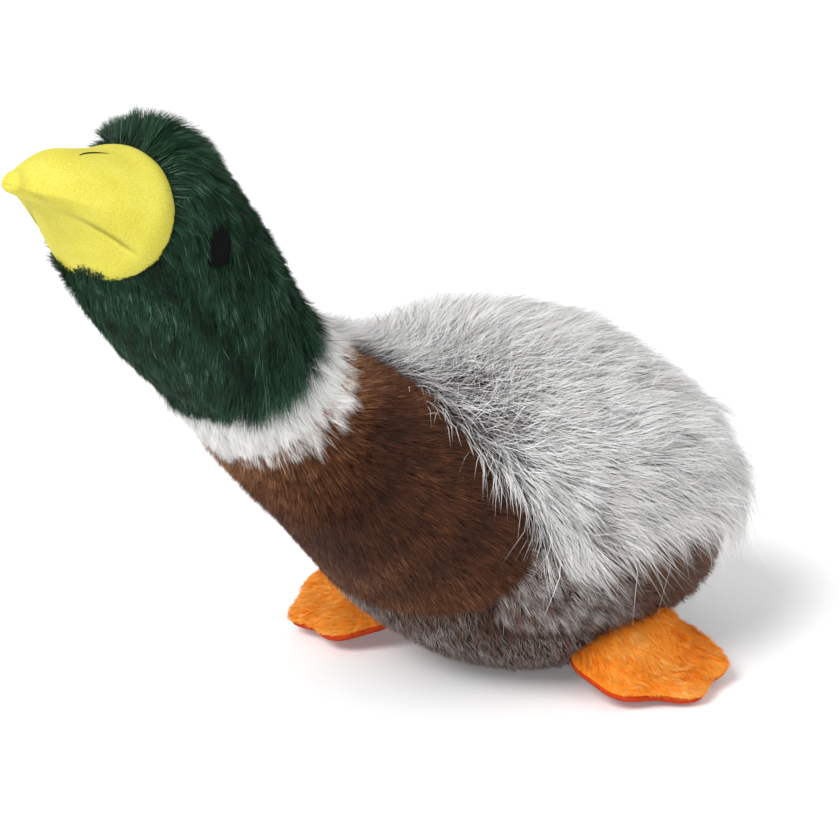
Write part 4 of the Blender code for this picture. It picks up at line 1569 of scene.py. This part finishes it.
def make_camera():
    """A long-lens camera ahead of the duck's left side, a little above it."""
    data = bpy.data.cameras.new("camera")
    data.lens = CAMERA_SENSOR / 2 / math.tan(math.radians(CAMERA_FIELD / 2))
    data.sensor_width = CAMERA_SENSOR
    data.clip_start, data.clip_end = 0.01, 50
    camera = bpy.data.objects.new("camera", data)
    bpy.context.scene.collection.objects.link(camera)
    camera.location = CAMERA_PLACE
    camera.rotation_euler = (math.radians(90 - CAMERA_DOWN), 0, math.radians(CAMERA_ROUND))
    bpy.context.scene.camera = camera


def in_view(tree):
    """1 for rays that the camera sends, straight, mirrored or through, and 0 for the rest."""
    rays = add(tree, "ShaderNodeLightPath").outputs
    seen = rays["Is Camera Ray"]
    for other in ("Is Glossy Ray", "Is Transmission Ray"):
        seen = add(tree, "ShaderNodeMath", {0: seen, 1: rays[other]}, operation="MAXIMUM").outputs[0]
    return seen


def make_light():
    """An even white world, a broad soft key lamp and a weaker side lamp, at a plain level."""
    world = bpy.data.worlds.new("studio")
    bpy.context.scene.world = world
    world.use_nodes = True
    tree = world.node_tree
    background = tree.nodes["Background"]
    background.inputs["Color"].default_value = (1, 1, 1, 1)
    strength = add(tree, "ShaderNodeMapRange", {0: in_view(tree), 3: WORLD_LEVEL, 4: 1.0})
    tree.links.new(strength.outputs[0], background.inputs["Strength"])
    for name, azimuth, elevation, level, spread in LAMPS:
        data = bpy.data.lights.new(name, "SUN")
        data.energy = level
        data.angle = math.radians(spread)
        lamp = bpy.data.objects.new(name, data)
        bpy.context.scene.collection.objects.link(lamp)
        lamp.rotation_euler = (math.radians(90 - elevation), 0, math.radians(azimuth))


WORLD_LEVEL = 0.48
LAMPS = (("key", 5, 42, 2.5, 25), ("side", 80, 35, 0.45, 60))


def make_floor():
    """A plain pale floor: near white, brought up to white for the camera while it keeps shadows."""
    made, tree, shader = new_material("pale_floor", Roughness=0.9)
    shader.inputs["Specular IOR Level"].default_value = 0.0
    shader.inputs["Base Color"].default_value = linear("#ffffff")
    glow = add(tree, "ShaderNodeMath", {0: in_view(tree), 1: FLOOR_GLOW}, operation="MULTIPLY")
    shader.inputs["Emission Color"].default_value = (1, 1, 1, 1)
    tree.links.new(glow.outputs[0], shader.inputs["Emission Strength"])
    reach = 8.0
    corners = np.array(((-1, -1, 0), (1, -1, 0), (1, 1, 0), (-1, 1, 0)), float) * reach
    obj = new_piece("floor", fill_mesh("floor", corners, [np.array([[0, 1, 2, 3]])], False), made)


FLOOR_GLOW = 0.15

make_camera()
make_light()
make_floor()
make_cloth()
make_filling()
make_bill()
make_eyes()
make_feet()
make_pile()

bpy.context.scene.view_settings.view_transform = "Standard"
